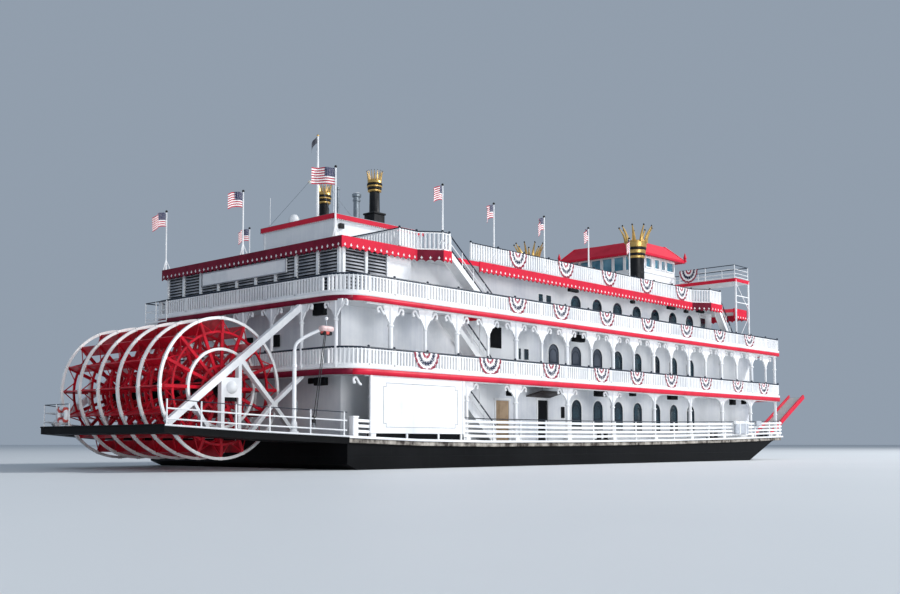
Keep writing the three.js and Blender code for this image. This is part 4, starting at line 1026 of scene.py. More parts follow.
def deck_fascia(deck, low, high, label):
    """The red board round a deck's edge, darkened to maroon across the stern as painted shade, and the white
    lip that stands on it.
    """
    side = [(58.34, 0), (58.34, 9.39), *corner_points(1.69)[:4]]
    stern = [*corner_points(1.69)[3:], (8.51, 0)]
    lip = [(58.33, 0), (58.33, 9.38), *corner_points(1.68), (8.52, 0)]
    boards = [rail_band(side, 0, low, high, 0.02, CRIMSON), rail_band(stern, 0, low, high, 0.02, SHADED_CRIMSON),
              rail_band(lip, 0, high, deck + 0.14, 0.026, WHITE)]
    dress(both_sides(joined(f"deck_fascia_{label}", boards)))


def deck_rail(deck, label, stern_columns):
    """The whole rail round an upper deck: kerb, balusters, dark handrail and knobs, and on the second deck
    the columns at the stern and the bow."""
    forward = 58.25
    half_line = [(forward, 0), (forward, RAIL_LINE), *corner_points(), (STERN_LINE, 0)]
    kerb = rail_band(half_line, deck, 0.12, 0.24, 0.05, WHITE)
    under = rail_band(half_line, deck, RAIL_HEIGHT - 0.14, RAIL_HEIGHT - 0.08, 0.04, WHITE)
    handrail = eased(rail_band(half_line, deck, RAIL_HEIGHT - 0.08, RAIL_HEIGHT + 0.03, 0.06, RAIL_DARK),
                     0.02)
    runs = [baluster_run((10.3, RAIL_LINE), (forward, RAIL_LINE), deck),
            baluster_run((STERN_LINE, 0.07), (STERN_LINE, 7.7), deck),
            baluster_run((forward, 0.07), (forward, RAIL_LINE - 0.1), deck)]
    arc = []
    for k in range(1, 11):
        angle = math.pi / 2 * k / 11
        place = (CORNER_CENTRE[0] - CORNER_RADIUS * math.sin(angle),
                 CORNER_CENTRE[1] + CORNER_RADIUS * math.cos(angle))
        arc.append(baluster(*place, deck))
    places = [(FIRST_COLUMN + BAY * k, RAIL_LINE) for k in range(18)]
    places += [(forward, RAIL_LINE), (forward, 4.6), (STERN_LINE, 2.6), (STERN_LINE, 5.2), (10.2, RAIL_LINE)]
    posts = knobs(places, deck)
    columns = []
    if stern_columns:
        top = THIRD_DECK - SLAB
        columns += column(forward, deck, top, 0.1, 6.2)
        columns += column(forward, deck, top, 0.1, 3.1)
    rail = both_sides(joined("rail", kerb, under, handrail, runs, arc, posts, columns))
    if stern_columns:
        middle = column(forward, deck, top, 0.1, 0)
        for y in STERN_COLUMNS:
            s = STERN_LINE + (0.16 if y < -8 else 0)
            middle += column(s, deck, top, 0.1, y) + stern_brackets(s, y, top)
        rail = joined("rail", rail, middle)
    rail.name = f"deck_rail_{label}"
    dress(rail,
          instead_of=[f"balustrade_{label}_{place}" for place in ("aft", "forward", "starboard", "port")])


def stern_platform():
    """A small landing with pipe rails off the port end of the third deck's stern."""
    inner, outer, aft, forward = 7.2, 9.62, 8.45, 9.6
    made = [block((aft, inner, THIRD_DECK - 0.26), (forward, outer, THIRD_DECK - 0.16), WHITE)]
    for height, radius, material in ((0.02, 0.025, WHITE), (0.5, 0.025, WHITE), (1.05, 0.035, RAIL_DARK)):
        made.append(bent([(aft + 0.03, inner, THIRD_DECK + height),
                          (aft + 0.03, outer - 0.03, THIRD_DECK + height),
                          (forward, outer - 0.03, THIRD_DECK + height)], radius, material))
    for s, y in ((aft + 0.03, inner), (aft + 0.03, 8.4), (aft + 0.03, outer - 0.03), (forward, outer - 0.03)):
        made.append(upright((s, y), THIRD_DECK - 0.17, THIRD_DECK + 1.07, 0.035, WHITE, sides=8))
    dress(joined("stern_platform", made))


def stern_brackets(s, y, top):
    """Brackets of a stern column, in the plane of the stern."""
    side = joined("stern_bracket", bracket_pair(s, top, 0.9, 0.95, y=0))
    side.data.transform(about((s, 0, 0), "Z", 90))
    side.data.transform(shifted(y=y))
    return [side]


# Rail line of the roof deck, and the side flagpoles in s and y
ROOF_RAIL = 8.15
SIDE_POLES = ((16.13, LANDING - 0.1), (21.8, ROOF_RAIL), (26.9, ROOF_RAIL), (31.9, ROOF_RAIL),
              (37, ROOF_RAIL))


def roof_rails():
    """Rails of the roof deck, with the side flagpoles that stand in them."""
    landing = LANDING - 0.1
    aft_line = [(16.7, landing), (16.13, landing), (14.97, ROOF_RAIL), (13.6, ROOF_RAIL), (13.6, 3.5)]
    side_line = [(19.64, ROOF_RAIL), (45.77, ROOF_RAIL), (47.0, landing), (48.65, landing)]
    made = [rail_band([(13.6, 3.5), (12.75, 3.5), (12.75, 0)], ROOF_DECK, 0.0, 0.12, 0.04, WHITE)]
    for line in (aft_line, side_line):
        made.append(rail_band(line, ROOF_DECK, 0.02, 0.12, 0.05, WHITE))
        made.append(rail_band(line, ROOF_DECK, RAIL_HEIGHT - 0.1, RAIL_HEIGHT - 0.04, 0.04, WHITE))
        made.append(eased(rail_band(line, ROOF_DECK, RAIL_HEIGHT - 0.05, RAIL_HEIGHT + 0.03, 0.055,
                                    RAIL_DARK), 0.02))
        for a, b in zip(line, line[1:]):
            made.append(baluster_run(a, b, ROOF_DECK))
        made += knobs(line, ROOF_DECK)
    made += knobs([(19.64 + BAY * k, ROOF_RAIL) for k in range(1, 10)], ROOF_DECK)
    for s, y in SIDE_POLES:
        made.append(flagpole(s, y, ROOF_DECK + 0.1))
    dress(both_sides(joined("roof_rails", made)),
          instead_of=["roof_rail_aft", "roof_rail_starboard", "roof_rail_port"])


# Feet of the main rail's boards over the deck, and the ends of the panel aft
BOARDS = (0.2, 0.48, 0.76, 1.04)
PANEL_AFT = 10.3
PANEL_FORWARD = 17.7


def main_rail():
    """Main deck rail: four boards on posts, a dark handrail, a box post and a panel aft on each side."""
    made = []
    for s0, s1, heights in ((9.4, PANEL_AFT, BOARDS[:3]), (PANEL_FORWARD, DECK_BOW - 0.08, BOARDS)):
        for z in heights:
            made.append(eased(along_sheer(s0, s1, z, z + 0.15, 9.26, 9.32, WHITE), 0.012))
    made.append(eased(along_sheer(PANEL_FORWARD, DECK_BOW - 0.08, MAIN_RAIL - 0.02, MAIN_RAIL + 0.03, 9.25,
                                  9.33, RAIL_DARK), 0.02))
    made.append(block((9.08, 9.04, deck_height(9)), (9.46, 9.38, 2.74), WHITE, 0.03))
    made.append(block((9.05, 9.01, 2.72), (9.49, 9.41, 2.8), WHITE, 0.03))
    for k in range(17):
        s = min(17.85 + BAY * k, DECK_BOW - 0.25)
        made.append(block((s - 0.06, 9.18, deck_height(s)), (s + 0.06, 9.27, deck_height(s) + MAIN_RAIL),
                          WHITE, 0.015))
    low, high = deck_height(14) + 0.32, 5.0
    made.append(block((PANEL_AFT, 9.26, low), (PANEL_FORWARD, 9.34, high), WHITE, 0.02))
    for s in (10.5, 13.1, 15.6, 17.5):
        made.append(block((s - 0.06, 9.24, deck_height(s)), (s + 0.06, 9.31, low + 0.05), WHITE))
    made.append(panel_border(low, high))
    for s in (PANEL_AFT + 0.06, PANEL_FORWARD - 0.06):
        made.append(block((s - 0.07, 9.3, low), (s + 0.07, 9.38, high + 0.02), WHITE, 0.02))
    dress(both_sides(joined("main_deck_rail", made)),
          instead_of=[f"rail_main_{side}" for side in SIDES])


def panel_border(low, high):
    """The panel's thin border line, with notched corners."""
    def loop(inset, notch):
        a, b = PANEL_AFT + 0.95 + inset, PANEL_FORWARD - 0.55 - inset
        c, d = low + 0.32 + inset, high - 0.38 - inset
        return [(a + notch, c), (b - notch, c), (b - notch, c + notch), (b, c + notch), (b, d - notch),
                (b - notch, d - notch), (b - notch, d), (a + notch, d), (a + notch, d - notch),
                (a, d - notch), (a, c + notch), (a + notch, c + notch)]
    return drawn("side", loop(0, 0.2), 9.335, 9.35, LOUVRE_GREY, holes=[loop(0.035, 0.2)])


def bow_rail():
    """Bow rail with its gate gap at the landing stage."""
    base = deck_height(DECK_BOW)
    gate, end = -6.45, 9.22
    made = [block((DECK_BOW - 0.09, gate, base + z), (DECK_BOW - 0.03, end, base + z + 0.15), WHITE, 0.012)
            for z in BOARDS]
    made.append(block((DECK_BOW - 0.12, gate, base + MAIN_RAIL - 0.02),
                      (DECK_BOW - 0.02, end, base + MAIN_RAIL + 0.04), RAIL_DARK, 0.02))
    for k in range(7):
        y = gate + 0.06 + k * (end - gate - 0.12) / 6
        made.append(block((DECK_BOW - 0.16, y - 0.06, base), (DECK_BOW - 0.07, y + 0.06, base + MAIN_RAIL),
                          WHITE, 0.015))
    dress(joined("bow_rail", made), instead_of=["rail_main_bow"])


def fantail_rails():
    """Pipe rails of the fantail with a dark wire on top, following its tapered edge."""
    def edge(s):
        return 6.03 + (DECK_HALF - FANTAIL_HALF) * s / TRANSOM
    for side, sign, inner in (("starboard", -1, ()), ("port", 1, (3.3, 4.7))):
        line = [*[(0.15, y) for y in inner[:1]], (0.15, edge(0.15)), (4, edge(4)), (8.75, edge(8.75))]
        made = []
        for height, radius, material in ((0.29, 0.04, WHITE), (0.79, 0.04, WHITE), (1.22, 0.022, RAIL_DARK)):
            made.append(bent([(s, sign * y, deck_height(s) + height) for s, y in line], radius, material))
        for s, y in [(s, edge(s)) for s in (0.15, 1.7, 3.3, 4.9, 6.9, 8.6)] + [(0.15, y) for y in inner]:
            foot = deck_height(s)
            made.append(upright((s, sign * y), foot, foot + 1.24, 0.04, WHITE, sides=8))
            made.append(upright((s, sign * y), foot, foot + 0.04, 0.1, WHITE))
        dress(joined(f"fantail_rails_{side}", made), instead_of=[f"rail_fantail_{side}"])


# Stairs: inner and outer side of the flights, under the roof and outboard of it
STAIR_WIDTH = (7.05, 8.05)
OUTER_WIDTH = (8.35, 9.12)


def stair(foot, head, width=STAIR_WIDTH):
    """A flight that rises aft: plate stringers, treads with open risers, a soffit and rails on both sides."""
    inner, outer = width
    steps = round((head[1] - foot[1]) / 0.2)
    run, rise = (head[0] - foot[0]) / steps, (head[1] - foot[1]) / steps
    made = []
    deep = 0.34
    slope = (head[1] - foot[1]) / (head[0] - foot[0])
    toe = foot[0] + deep / slope
    plate = [(foot[0], foot[1]), (foot[0], foot[1] + 0.1), (head[0], head[1] + 0.06),
             (head[0], head[1] - deep), (toe - 0.05, foot[1])]
    for near, far in ((inner, inner + 0.05), (outer - 0.05, outer)):
        made.append(drawn("side", plate, near, far, WHITE))
    tread = block((foot[0] + run - 0.14, inner + 0.04, foot[1] + rise - 0.04),
                  (foot[0] + run + 0.14, outer - 0.04, foot[1] + rise), LOUVRE_GREY, 0.01)
    made.append(repeated(tread, steps - 1, (run, 0, rise)))
    under = [(foot[0] + deep / slope * 0.2, foot[1] + 0.02), (head[0], head[1] - deep * 0.8),
             (head[0], head[1] - deep * 0.8 - 0.03), (toe, foot[1])]
    made.append(drawn("side", under, inner + 0.04, outer - 0.04, WHITE))
    for y in (inner + 0.05, outer - 0.05):
        for height, radius, material in ((0.95, 0.04, RAIL_DARK), (0.5, 0.025, WHITE)):
            made.append(pipe((foot[0], y, foot[1] + height), (head[0] + 0.04, y, head[1] + height), radius,
                             material, sides=8))
        for share in (0, 0.25, 0.5, 0.75, 1):
            s = foot[0] + (head[0] + 0.04 - foot[0]) * share
            z = foot[1] + (head[1] - foot[1]) * share
            made.append(upright((s, y), z, z + 0.96, 0.025, WHITE, sides=6))
    return made


def stairs():
    """Three flights on each side aft and one forward. The upper ones stand outboard of the roof's edge."""
    aft = stair((22.1, deck_height(22.1)), (17.74, SECOND_DECK))
    aft += stair((22.1, SECOND_DECK), (17.74, THIRD_DECK))
    aft += stair((20.8, THIRD_DECK), (16.84, ROOF_DECK), OUTER_WIDTH)
    aft.append(upright((20.6, 8.01), 3.6, 9.42, 0.03, WHITE, sides=8))
    aft.append(pipe((20.6, 8.0, 9.4), (20.6, 8.4, 9.4), 0.025, WHITE, sides=8))
    dress(both_sides(joined("promenade_stairs", aft)),
          instead_of=[f"stairs_{side}" for side in SIDES])
    forward = joined("forward_stairs", stair((51.35, THIRD_DECK), (48.79, ROOF_DECK), (8.35, 8.88)))
    dress(both_sides(forward), instead_of=[f"stairs_forward_{side}" for side in SIDES])


# Paddle wheel
FRAME_PITCH = 1.94
FRAME_END = 4.85
FRAME_LINES = tuple(-FRAME_END + FRAME_PITCH * k for k in range(6))
RING_INNER = 3.53
AXLE = (WHEEL_S, 0, WHEEL_Z)


def round_wheel(piece, count, start=0):
    """Even copies of a piece about the wheel's axis, joined."""
    turns = [copied(piece, about(AXLE, "Y", start + 360 * k / count)) for k in range(count)]
    bpy.data.objects.remove(piece)
    return joined("round_wheel", turns)


def wheel():
    """Rims, spoked frames, paddle boards with their stays, hubs and shaft."""
    for k, y in enumerate(FRAME_LINES):
        rim = hoop(y, WHEEL_RADIUS, RING_INNER, 0.065, WHEEL_WHITE)
        clamp = pillar((WHEEL_S, y), 0.1, 0.085, WHEEL_Z + RING_INNER - 0.02, WHEEL_Z + WHEEL_RADIUS + 0.012,
                       WHEEL_WHITE, 0.015)
        bolts = [ball((WHEEL_S + shift, y, WHEEL_Z + WHEEL_RADIUS + 0.01), 0.022, STACK_BLACK, segments=6)
                 for shift in (-0.06, 0.06)]
        clamps = round_wheel(joined("clamp", clamp, bolts), SPOKES)
        dress(joined(f"wheel_rim_{k + 1}", rim, clamps), body="wheel",
              instead_of=[f"wheel_ring_{k + 1}"])
    y = FRAME_LINES[0]
    spoke = pillar((WHEEL_S, y), 0.085, 0.06, WHEEL_Z + 0.45, WHEEL_Z + RING_INNER, WHEEL_RED, 0.012)
    spokes = round_wheel(spoke, SPOKES)
    fork = []
    for degrees in (-11.25, 11.25):
        angle = math.radians(degrees)
        foot = (WHEEL_S + 2.86 * math.sin(angle), y, WHEEL_Z + 2.86 * math.cos(angle))
        fork.append(pipe((WHEEL_S, y, WHEEL_Z + RING_INNER - 0.03), foot, 0.03, WHEEL_RED, sides=4))
    forks = round_wheel(joined("fork", fork), SPOKES)
    web = joined("frame", spokes, forks, hoop(y, 2.95, 2.84, 0.05, WHEEL_RED, steps=48),
                 hoop(y, 1.2, 1.08, 0.05, WHEEL_RED, steps=32))
    webs = repeated(web, len(FRAME_LINES), (0, FRAME_PITCH, 0))
    middle_rings = []
    for line in FRAME_LINES:
        outermost = line in (FRAME_LINES[0], FRAME_LINES[-1])
        half, material = (0.075, WHEEL_WHITE) if outermost else (0.05, WHEEL_RED)
        middle_rings.append(hoop(line, 2.07, 1.93, half, material, steps=56))
    board = pillar((WHEEL_S, 0), 0.035, 4.93, WHEEL_Z + 2.9, WHEEL_Z + 3.56, WHEEL_RED, 0.012)
    cleats = [pillar((WHEEL_S, line), 0.075, 0.1, WHEEL_Z + 2.88, WHEEL_Z + 3.4, WHEEL_RED)
              for line in FRAME_LINES]
    boards = round_wheel(joined("board", board, cleats), SPOKES)
    hubs = []
    for line in FRAME_LINES:
        for radius, half in ((0.58, 0.1), (0.36, 0.24)):
            hubs.append(pipe((WHEEL_S, line - half, WHEEL_Z), (WHEEL_S, line + half, WHEEL_Z), radius,
                             STACK_BLACK, sides=24))
    shaft = pipe((WHEEL_S, -5.9, WHEEL_Z), (WHEEL_S, 5.9, WHEEL_Z), 0.22, GALVANISED, sides=24)
    tube = pipe((WHEEL_S, -FRAME_END, WHEEL_Z + 1.14), (WHEEL_S, FRAME_END, WHEEL_Z + 1.14), 0.05, WHEEL_RED,
                sides=8)
    tubes = round_wheel(tube, 8, 11.25)
    dress(joined("wheel_frames", webs, middle_rings, boards, hubs, shaft, tubes), body="wheel",
          instead_of=["wheel_rotor"])


def wheel_bearings():
    """Bearing caps and foot plates on the outside of both trusses, with painted shade under the caps."""
    dome = turned((WHEEL_S, 0), ((0.33, 0), (0.33, 0.06), (0.3, 0.12), (0.22, 0.22), (0.1, 0.27)), WHITE,
                  sides=28)
    dome.data.transform(about((WHEEL_S, 0, 0), "X", -90))
    dome.data.transform(shifted(y=5.72, z=WHEEL_Z))
    # The dark plate under each cap is painted shade over the truss's bearing plate
    made = [dome, block((3.76, 5.6, 3.5), (4.44, 5.71, 4.12), BLACK_AND_PAINTED_SHADE)]
    for s in (3.58, 4.62, 0.95, 8.1):
        made.append(block((s - 0.26, 5.38, deck_height(s)), (s + 0.26, 5.82, deck_height(s) + 0.06), WHITE,
                          0.015))
    dress(both_sides(joined("wheel_bearings", made)))


# Stacks: station and distance from the keel line of the forward and the aft pair
FORWARD_STACK = (42.4, 5.3)
AFT_STACK = (17.1, 2.4)
# Bands of the forward stacks (radius, foot, head) and rings of the aft ones (radius and height)
COLLAR_BANDS = ((0.62, 15.75, 15.95, GOLD), (0.66, 15.95, 16.13, STACK_BLACK), (0.69, 16.13, 16.4, GOLD),
                (0.73, 16.4, 16.6, STACK_BLACK), (0.77, 16.6, 17.12, GOLD))
AFT_STACK_RINGS = ((((0.34, 17.0), (0.43, 17.04), (0.43, 17.12), (0.37, 17.16)), GOLD),
                   (((0.37, 17.16), (0.44, 17.18), (0.44, 17.26), (0.39, 17.28)), STACK_BLACK),
                   (((0.39, 17.28), (0.48, 17.31), (0.48, 17.39), (0.42, 17.42)), GOLD),
                   (((0.42, 17.42), (0.48, 17.44), (0.48, 17.52), (0.42, 17.54)), STACK_BLACK),
                   (((0.38, 17.54), (0.45, 17.57), (0.43, 17.72), (0.36, 17.8)), GOLD))


def crown(centre, radius, low, high, spread, count, thick):
    """A ring of flaring gilt spikes with round tips, each one a bent and tapered bar."""
    s, y = centre
    rings = 7
    clear()
    bpy.ops.mesh.primitive_cone_add(vertices=6, radius1=thick * SCALE, radius2=thick * 0.28 * SCALE,
                                    depth=(high - low) * SCALE, location=at(s + radius, y, (low + high) / 2))
    piece = settle(bpy.context.object, GOLD)
    bpy.ops.object.mode_set(mode="EDIT")
    bpy.ops.mesh.select_all(action="SELECT")
    bpy.ops.mesh.bisect(plane_co=at(s, y, low), plane_no=(0, 0, 1))
    for k in range(1, rings):
        bpy.ops.mesh.select_all(action="SELECT")
        bpy.ops.mesh.bisect(plane_co=at(s, y, low + (high - low) * k / rings), plane_no=(0, 0, 1))
    bpy.ops.object.mode_set(mode="OBJECT")
    foot, tall = at(s, y, low).z, (high - low) * SCALE
    for vertex in piece.data.vertices:
        share = (vertex.co.z - foot) / tall
        vertex.co.x += (spread - radius) * SCALE * share ** 1.8
    tip = ball((s + spread, y, high + 0.03), thick * 0.5, STACK_BLACK, segments=8)
    spike = joined("spike", smooth(piece), tip)
    ring = [copied(spike, about((s, y, 0), "Z", 360 * k / count)) for k in range(count)]
    bpy.data.objects.remove(spike)
    return joined("crown", ring)


def stacks():
    """Two tall forward stacks with wide crowns and two small aft ones on plinths."""
    for side, sign in SIDES.items():
        s, y = FORWARD_STACK[0], sign * FORWARD_STACK[1]
        shaft = turned((s, y), ((0.78, ROOF_DECK), (0.78, ROOF_DECK + 0.12), (0.62, ROOF_DECK + 0.2),
                                (0.6, 15.8), (0.6, 17.0)), STACK_BLACK, sides=36)
        collar = []
        for r, z0, z1, material in COLLAR_BANDS:
            profile = ((r, z0), (r + 0.03, z0 + 0.03), (r + 0.05, z1 - 0.03), (r + 0.03, z1))
            collar.append(turned((s, y), profile, material, sides=36))
        seams = [turned((s, y), ((0.612, z), (0.625, z + 0.02), (0.612, z + 0.04)), STACK_BLACK, sides=36)
                 for z in (13.4, 14.6)]
        top = crown((s, y), 0.8, 17.0, 18.2, 1.3, 9, 0.15)
        dress(joined(f"forward_stack_{side}", shaft, collar, seams, top),
              instead_of=[f"stack_forward_{side}"])
        s, y = AFT_STACK[0], sign * AFT_STACK[1]
        plinth = pillar((s, y), 0.46, 0.46, BRIDGE_DECK, BRIDGE_DECK + 0.72, STACK_BLACK, 0.03)
        cap = pillar((s, y), 0.52, 0.52, BRIDGE_DECK + 0.7, BRIDGE_DECK + 0.82, STACK_BLACK, 0.03)
        shaft = turned((s, y), ((0.36, BRIDGE_DECK + 0.8), (0.33, BRIDGE_DECK + 0.9), (0.315, 16.9),
                                (0.315, 17.7)), STACK_BLACK, sides=28)
        rings = [turned((s, y), profile, material, sides=28) for profile, material in AFT_STACK_RINGS]
        top = crown((s, y), 0.4, 17.7, 18.3, 0.5, 16, 0.05)
        dress(joined(f"aft_stack_{side}", plinth, cap, shaft, rings, top),
              instead_of=[f"stack_aft_{side}"])


# Roof house, pilothouse and bridge wings

MAST = (14.5, 0)
ROOF_HOUSE_HALF = 3.49


def roof_house_trim():
    """Red eave with a fine scalloped edge, corner boards, a vent hood, lamps, a mast with a yard, a radar."""
    eave = 14.88
    aft, forward = 12.81, 20.39
    made = []
    for near, far in ((-ROOF_HOUSE_HALF, -3.45), (3.45, ROOF_HOUSE_HALF)):
        made.append(scalloped("side", aft, forward, eave, 0.34, near, far, pitch=0.16, rise=0.07))
    for near, far in ((aft, aft + 0.04), (forward - 0.04, forward)):
        made.append(scalloped("front", -ROOF_HOUSE_HALF, ROOF_HOUSE_HALF, eave, 0.34, near, far, pitch=0.16,
                              rise=0.07))
    made.append(block((aft, -3.5, BRIDGE_DECK), (forward, 3.5, BRIDGE_DECK + 0.03), LOUVRE_GREY, 0.01))
    dress(joined("roof_house_eave", made))
    trim = [pillar((s, y), 0.05, 0.05, ROOF_DECK, 14.55, WHITE) for s in (13.0, 20.2) for y in (-3.3, 3.3)]
    trim.append(block((14.9, -3.36, 12.9), (16.1, -3.28, 13.6), GALVANISED, 0.02))
    trim.append(block((14.9, 3.28, 12.9), (16.1, 3.36, 13.6), GALVANISED, 0.02))
    trim.append(block((13.3, -3.5, 14.05), (13.65, -3.31, 14.35), STACK_BLACK, 0.02))
    dress(joined("roof_house_fittings", trim))
    vent = turned((16, -1.95), ((0.2, 14.89), (0.19, 16.3), (0.24, 16.33), (0.24, 16.42), (0.2, 16.44),
                                (0.2, 16.56), (0.28, 16.6), (0.28, 16.76), (0.1, 16.88)), GALVANISED,
                  sides=20)
    pole = ((0.2, BRIDGE_DECK), (0.11, 15.1), (0.09, 17.5), (0.055, 20.46))
    mast = [turned(MAST, pole, WHITE, sides=14), ball((*MAST, 20.52), 0.08, GOLD)]
    yard = [pipe((MAST[0], -0.8, 17.6), (MAST[0], 0.8, 17.6), 0.03, WHITE, sides=8),
            block((14.42, -0.9, 17.8), (14.58, 0.35, 17.9), WHITE, 0.02),
            ball((MAST[0], 0.75, 17.72), 0.12, LAMP), ball((MAST[0], -0.75, 17.72), 0.08, BLACK_AND_PAINTED_SHADE)]
    stays = [pipe((*MAST, 18.2), (s, y, BRIDGE_DECK + 0.02), 0.012, GALVANISED, sides=6)
             for s, y in ((13.0, -3.0), (13.0, 3.0), (18.6, 0))]
    flue = turned((16, -0.22), ((0.1, 14.9), (0.08, 17.3), (0.12, 17.34), (0.12, 17.44), (0.04, 17.55)),
                  GALVANISED, sides=16)
    whips = [upright(foot, BRIDGE_DECK, 16.8, 0.015, WHITE, sides=6) for foot in ((13.1, 2.9), (13.3, -2.9))]
    dish = turned((13.4, 0.9), ((0.3, 14.9), (0.34, 15.05), (0.33, 15.25), (0.22, 15.45), (0.06, 15.52)),
                  WHITE, sides=20)
    dress(joined("mast_and_vents", vent, mast, yard, stays, flue, whips, dish))


# The pilothouse roof: ends, half width and top of its eave, ends and half width of its flat crest
EAVE_AFT = 44.95
EAVE_FORWARD = 52
EAVE_HALF = 4.05
EAVE_TOP = 16.92
CREST_AFT = 47.35
CREST_FORWARD = 49.6
CREST_HALF = 0.8


def pilothouse_roof():
    """The roof, drawn up from its eave in two slopes: steep below and nearly flat above."""
    eave = block((EAVE_AFT, -EAVE_HALF, 16.8), (EAVE_FORWARD, EAVE_HALF, EAVE_TOP), CRIMSON)
    roof = joined("pilothouse_roof", eave)
    choose(roof)
    for height, middle, along, across in ((1.06, 47.54, 0.5957, 0.79), (0.22, 48.91, 0.5357, 0.25)):
        bpy.ops.object.mode_set(mode="EDIT")
        bpy.ops.mesh.select_mode(type="FACE")
        bpy.ops.mesh.select_all(action="DESELECT")
        bpy.ops.object.mode_set(mode="OBJECT")
        for face in roof.data.polygons:
            face.select = face.normal.z > 0.9
        bpy.ops.object.mode_set(mode="EDIT")
        bpy.ops.mesh.extrude_region_move(TRANSFORM_OT_translate={"value": (0, 0, height * SCALE)})
        bpy.ops.transform.resize(value=(along, across, 1), center_override=at(middle, 0, 17))
        bpy.ops.object.mode_set(mode="OBJECT")
    dress(eased(roof, 0.02), instead_of=["pilothouse_roof"])


# The pilothouse's walls under their trim, and the outside of the trim on its sides
CAB_AFT = 45.41
CAB_FORWARD = 50.99
CAB_HALF = 3.59
CAB_OUTER = 3.66


def pilothouse_trim():
    """Window trim, wainscot, eave scallops, hip and ridge rolls and crest ornaments of the pilothouse."""
    made = []
    for s, half in ((46.9, 0.43), (48.17, 0.36), (49.17, 0.27), (50.28, 0.58)):
        made.append(window_frame("side", s, half, CAB_HALF, CAB_OUTER, low=15.85, high=16.6))
    sides = both_sides(joined("cab_sides", made))
    ends = [window_frame("front", y, 1.05, CAB_FORWARD, 51.05) for y in (-2.3, 2.3)]
    ends += [window_frame("front", y, 0.48, 45.35, CAB_AFT) for y in (-2.8, -1.68, -0.56, 0.56, 1.68, 2.8)]
    belts = []
    for z in (15.38, 13.4):
        for s0, s1, y0, y1 in ((45.36, 51.04, -CAB_OUTER, -CAB_HALF), (45.36, 51.04, CAB_HALF, CAB_OUTER),
                               (45.34, CAB_AFT, -CAB_OUTER, CAB_OUTER),
                               (CAB_FORWARD, 51.06, -CAB_OUTER, -0.55),
                               (CAB_FORWARD, 51.06, 0.55, CAB_OUTER)):
            belts.append(block((s0, y0, z), (s1, y1, z + 0.08), WHITE))
    dress(joined("pilothouse_trim", sides, ends, belts))
    edge = []
    for near, far in ((-4.07, -4.03), (4.03, 4.07)):
        edge.append(scalloped("side", 44.93, 52.02, EAVE_TOP, 0.22, near, far, pitch=0.2, rise=0.06))
    for near, far in ((44.93, 44.97), (51.98, 52.02)):
        edge.append(scalloped("front", -4.07, 4.07, EAVE_TOP, 0.22, near, far, pitch=0.2, rise=0.06))
    corners = [(s, y) for s in (EAVE_AFT, EAVE_FORWARD) for y in (-EAVE_HALF, EAVE_HALF)]
    knees = [(46 if s == EAVE_AFT else 50.2, math.copysign(3.2, y)) for s, y in corners]
    tips = [(CREST_AFT if s == EAVE_AFT else CREST_FORWARD, math.copysign(CREST_HALF, y)) for s, y in corners]
    for (s, y), knee, tip in zip(corners, knees, tips):
        edge.append(bent([(s, y, EAVE_TOP), (*knee, 17.98), (*tip, 18.2)], 0.06, CRIMSON))
        edge.append(turned((s, y), ((0.13, 16.85), (0.13, 17.0), (0.08, 17.06), (0.15, 17.2), (0.09, 17.4),
                                    (0.02, 17.62)), CRIMSON, sides=12))
    for k in range(11):
        place = (CREST_AFT + (CREST_FORWARD - CREST_AFT) * k / 10, 0, 18.24)
        edge.append(ball(place, 0.07, CRIMSON, segments=8))
    rail = [(CREST_AFT, CREST_HALF), (CREST_FORWARD, CREST_HALF), (CREST_FORWARD, -CREST_HALF),
            (CREST_AFT, -CREST_HALF), (CREST_AFT, CREST_HALF)]
    edge.append(bent([(s, y, 18.21) for s, y in rail], 0.05, CRIMSON))
    dress(joined("pilothouse_eave", edge))


def window_frame(view, middle, half, near, far, low=15.55, high=16.68):
    """A squared window trim, drawn round an opening."""
    def loop(grow):
        return [(middle - half - grow, low - grow), (middle + half + grow, low - grow),
                (middle + half + grow, high + grow), (middle - half - grow, high + grow)]
    return drawn(view, loop(0.07), near, far, WHITE, holes=[loop(-0.015)])


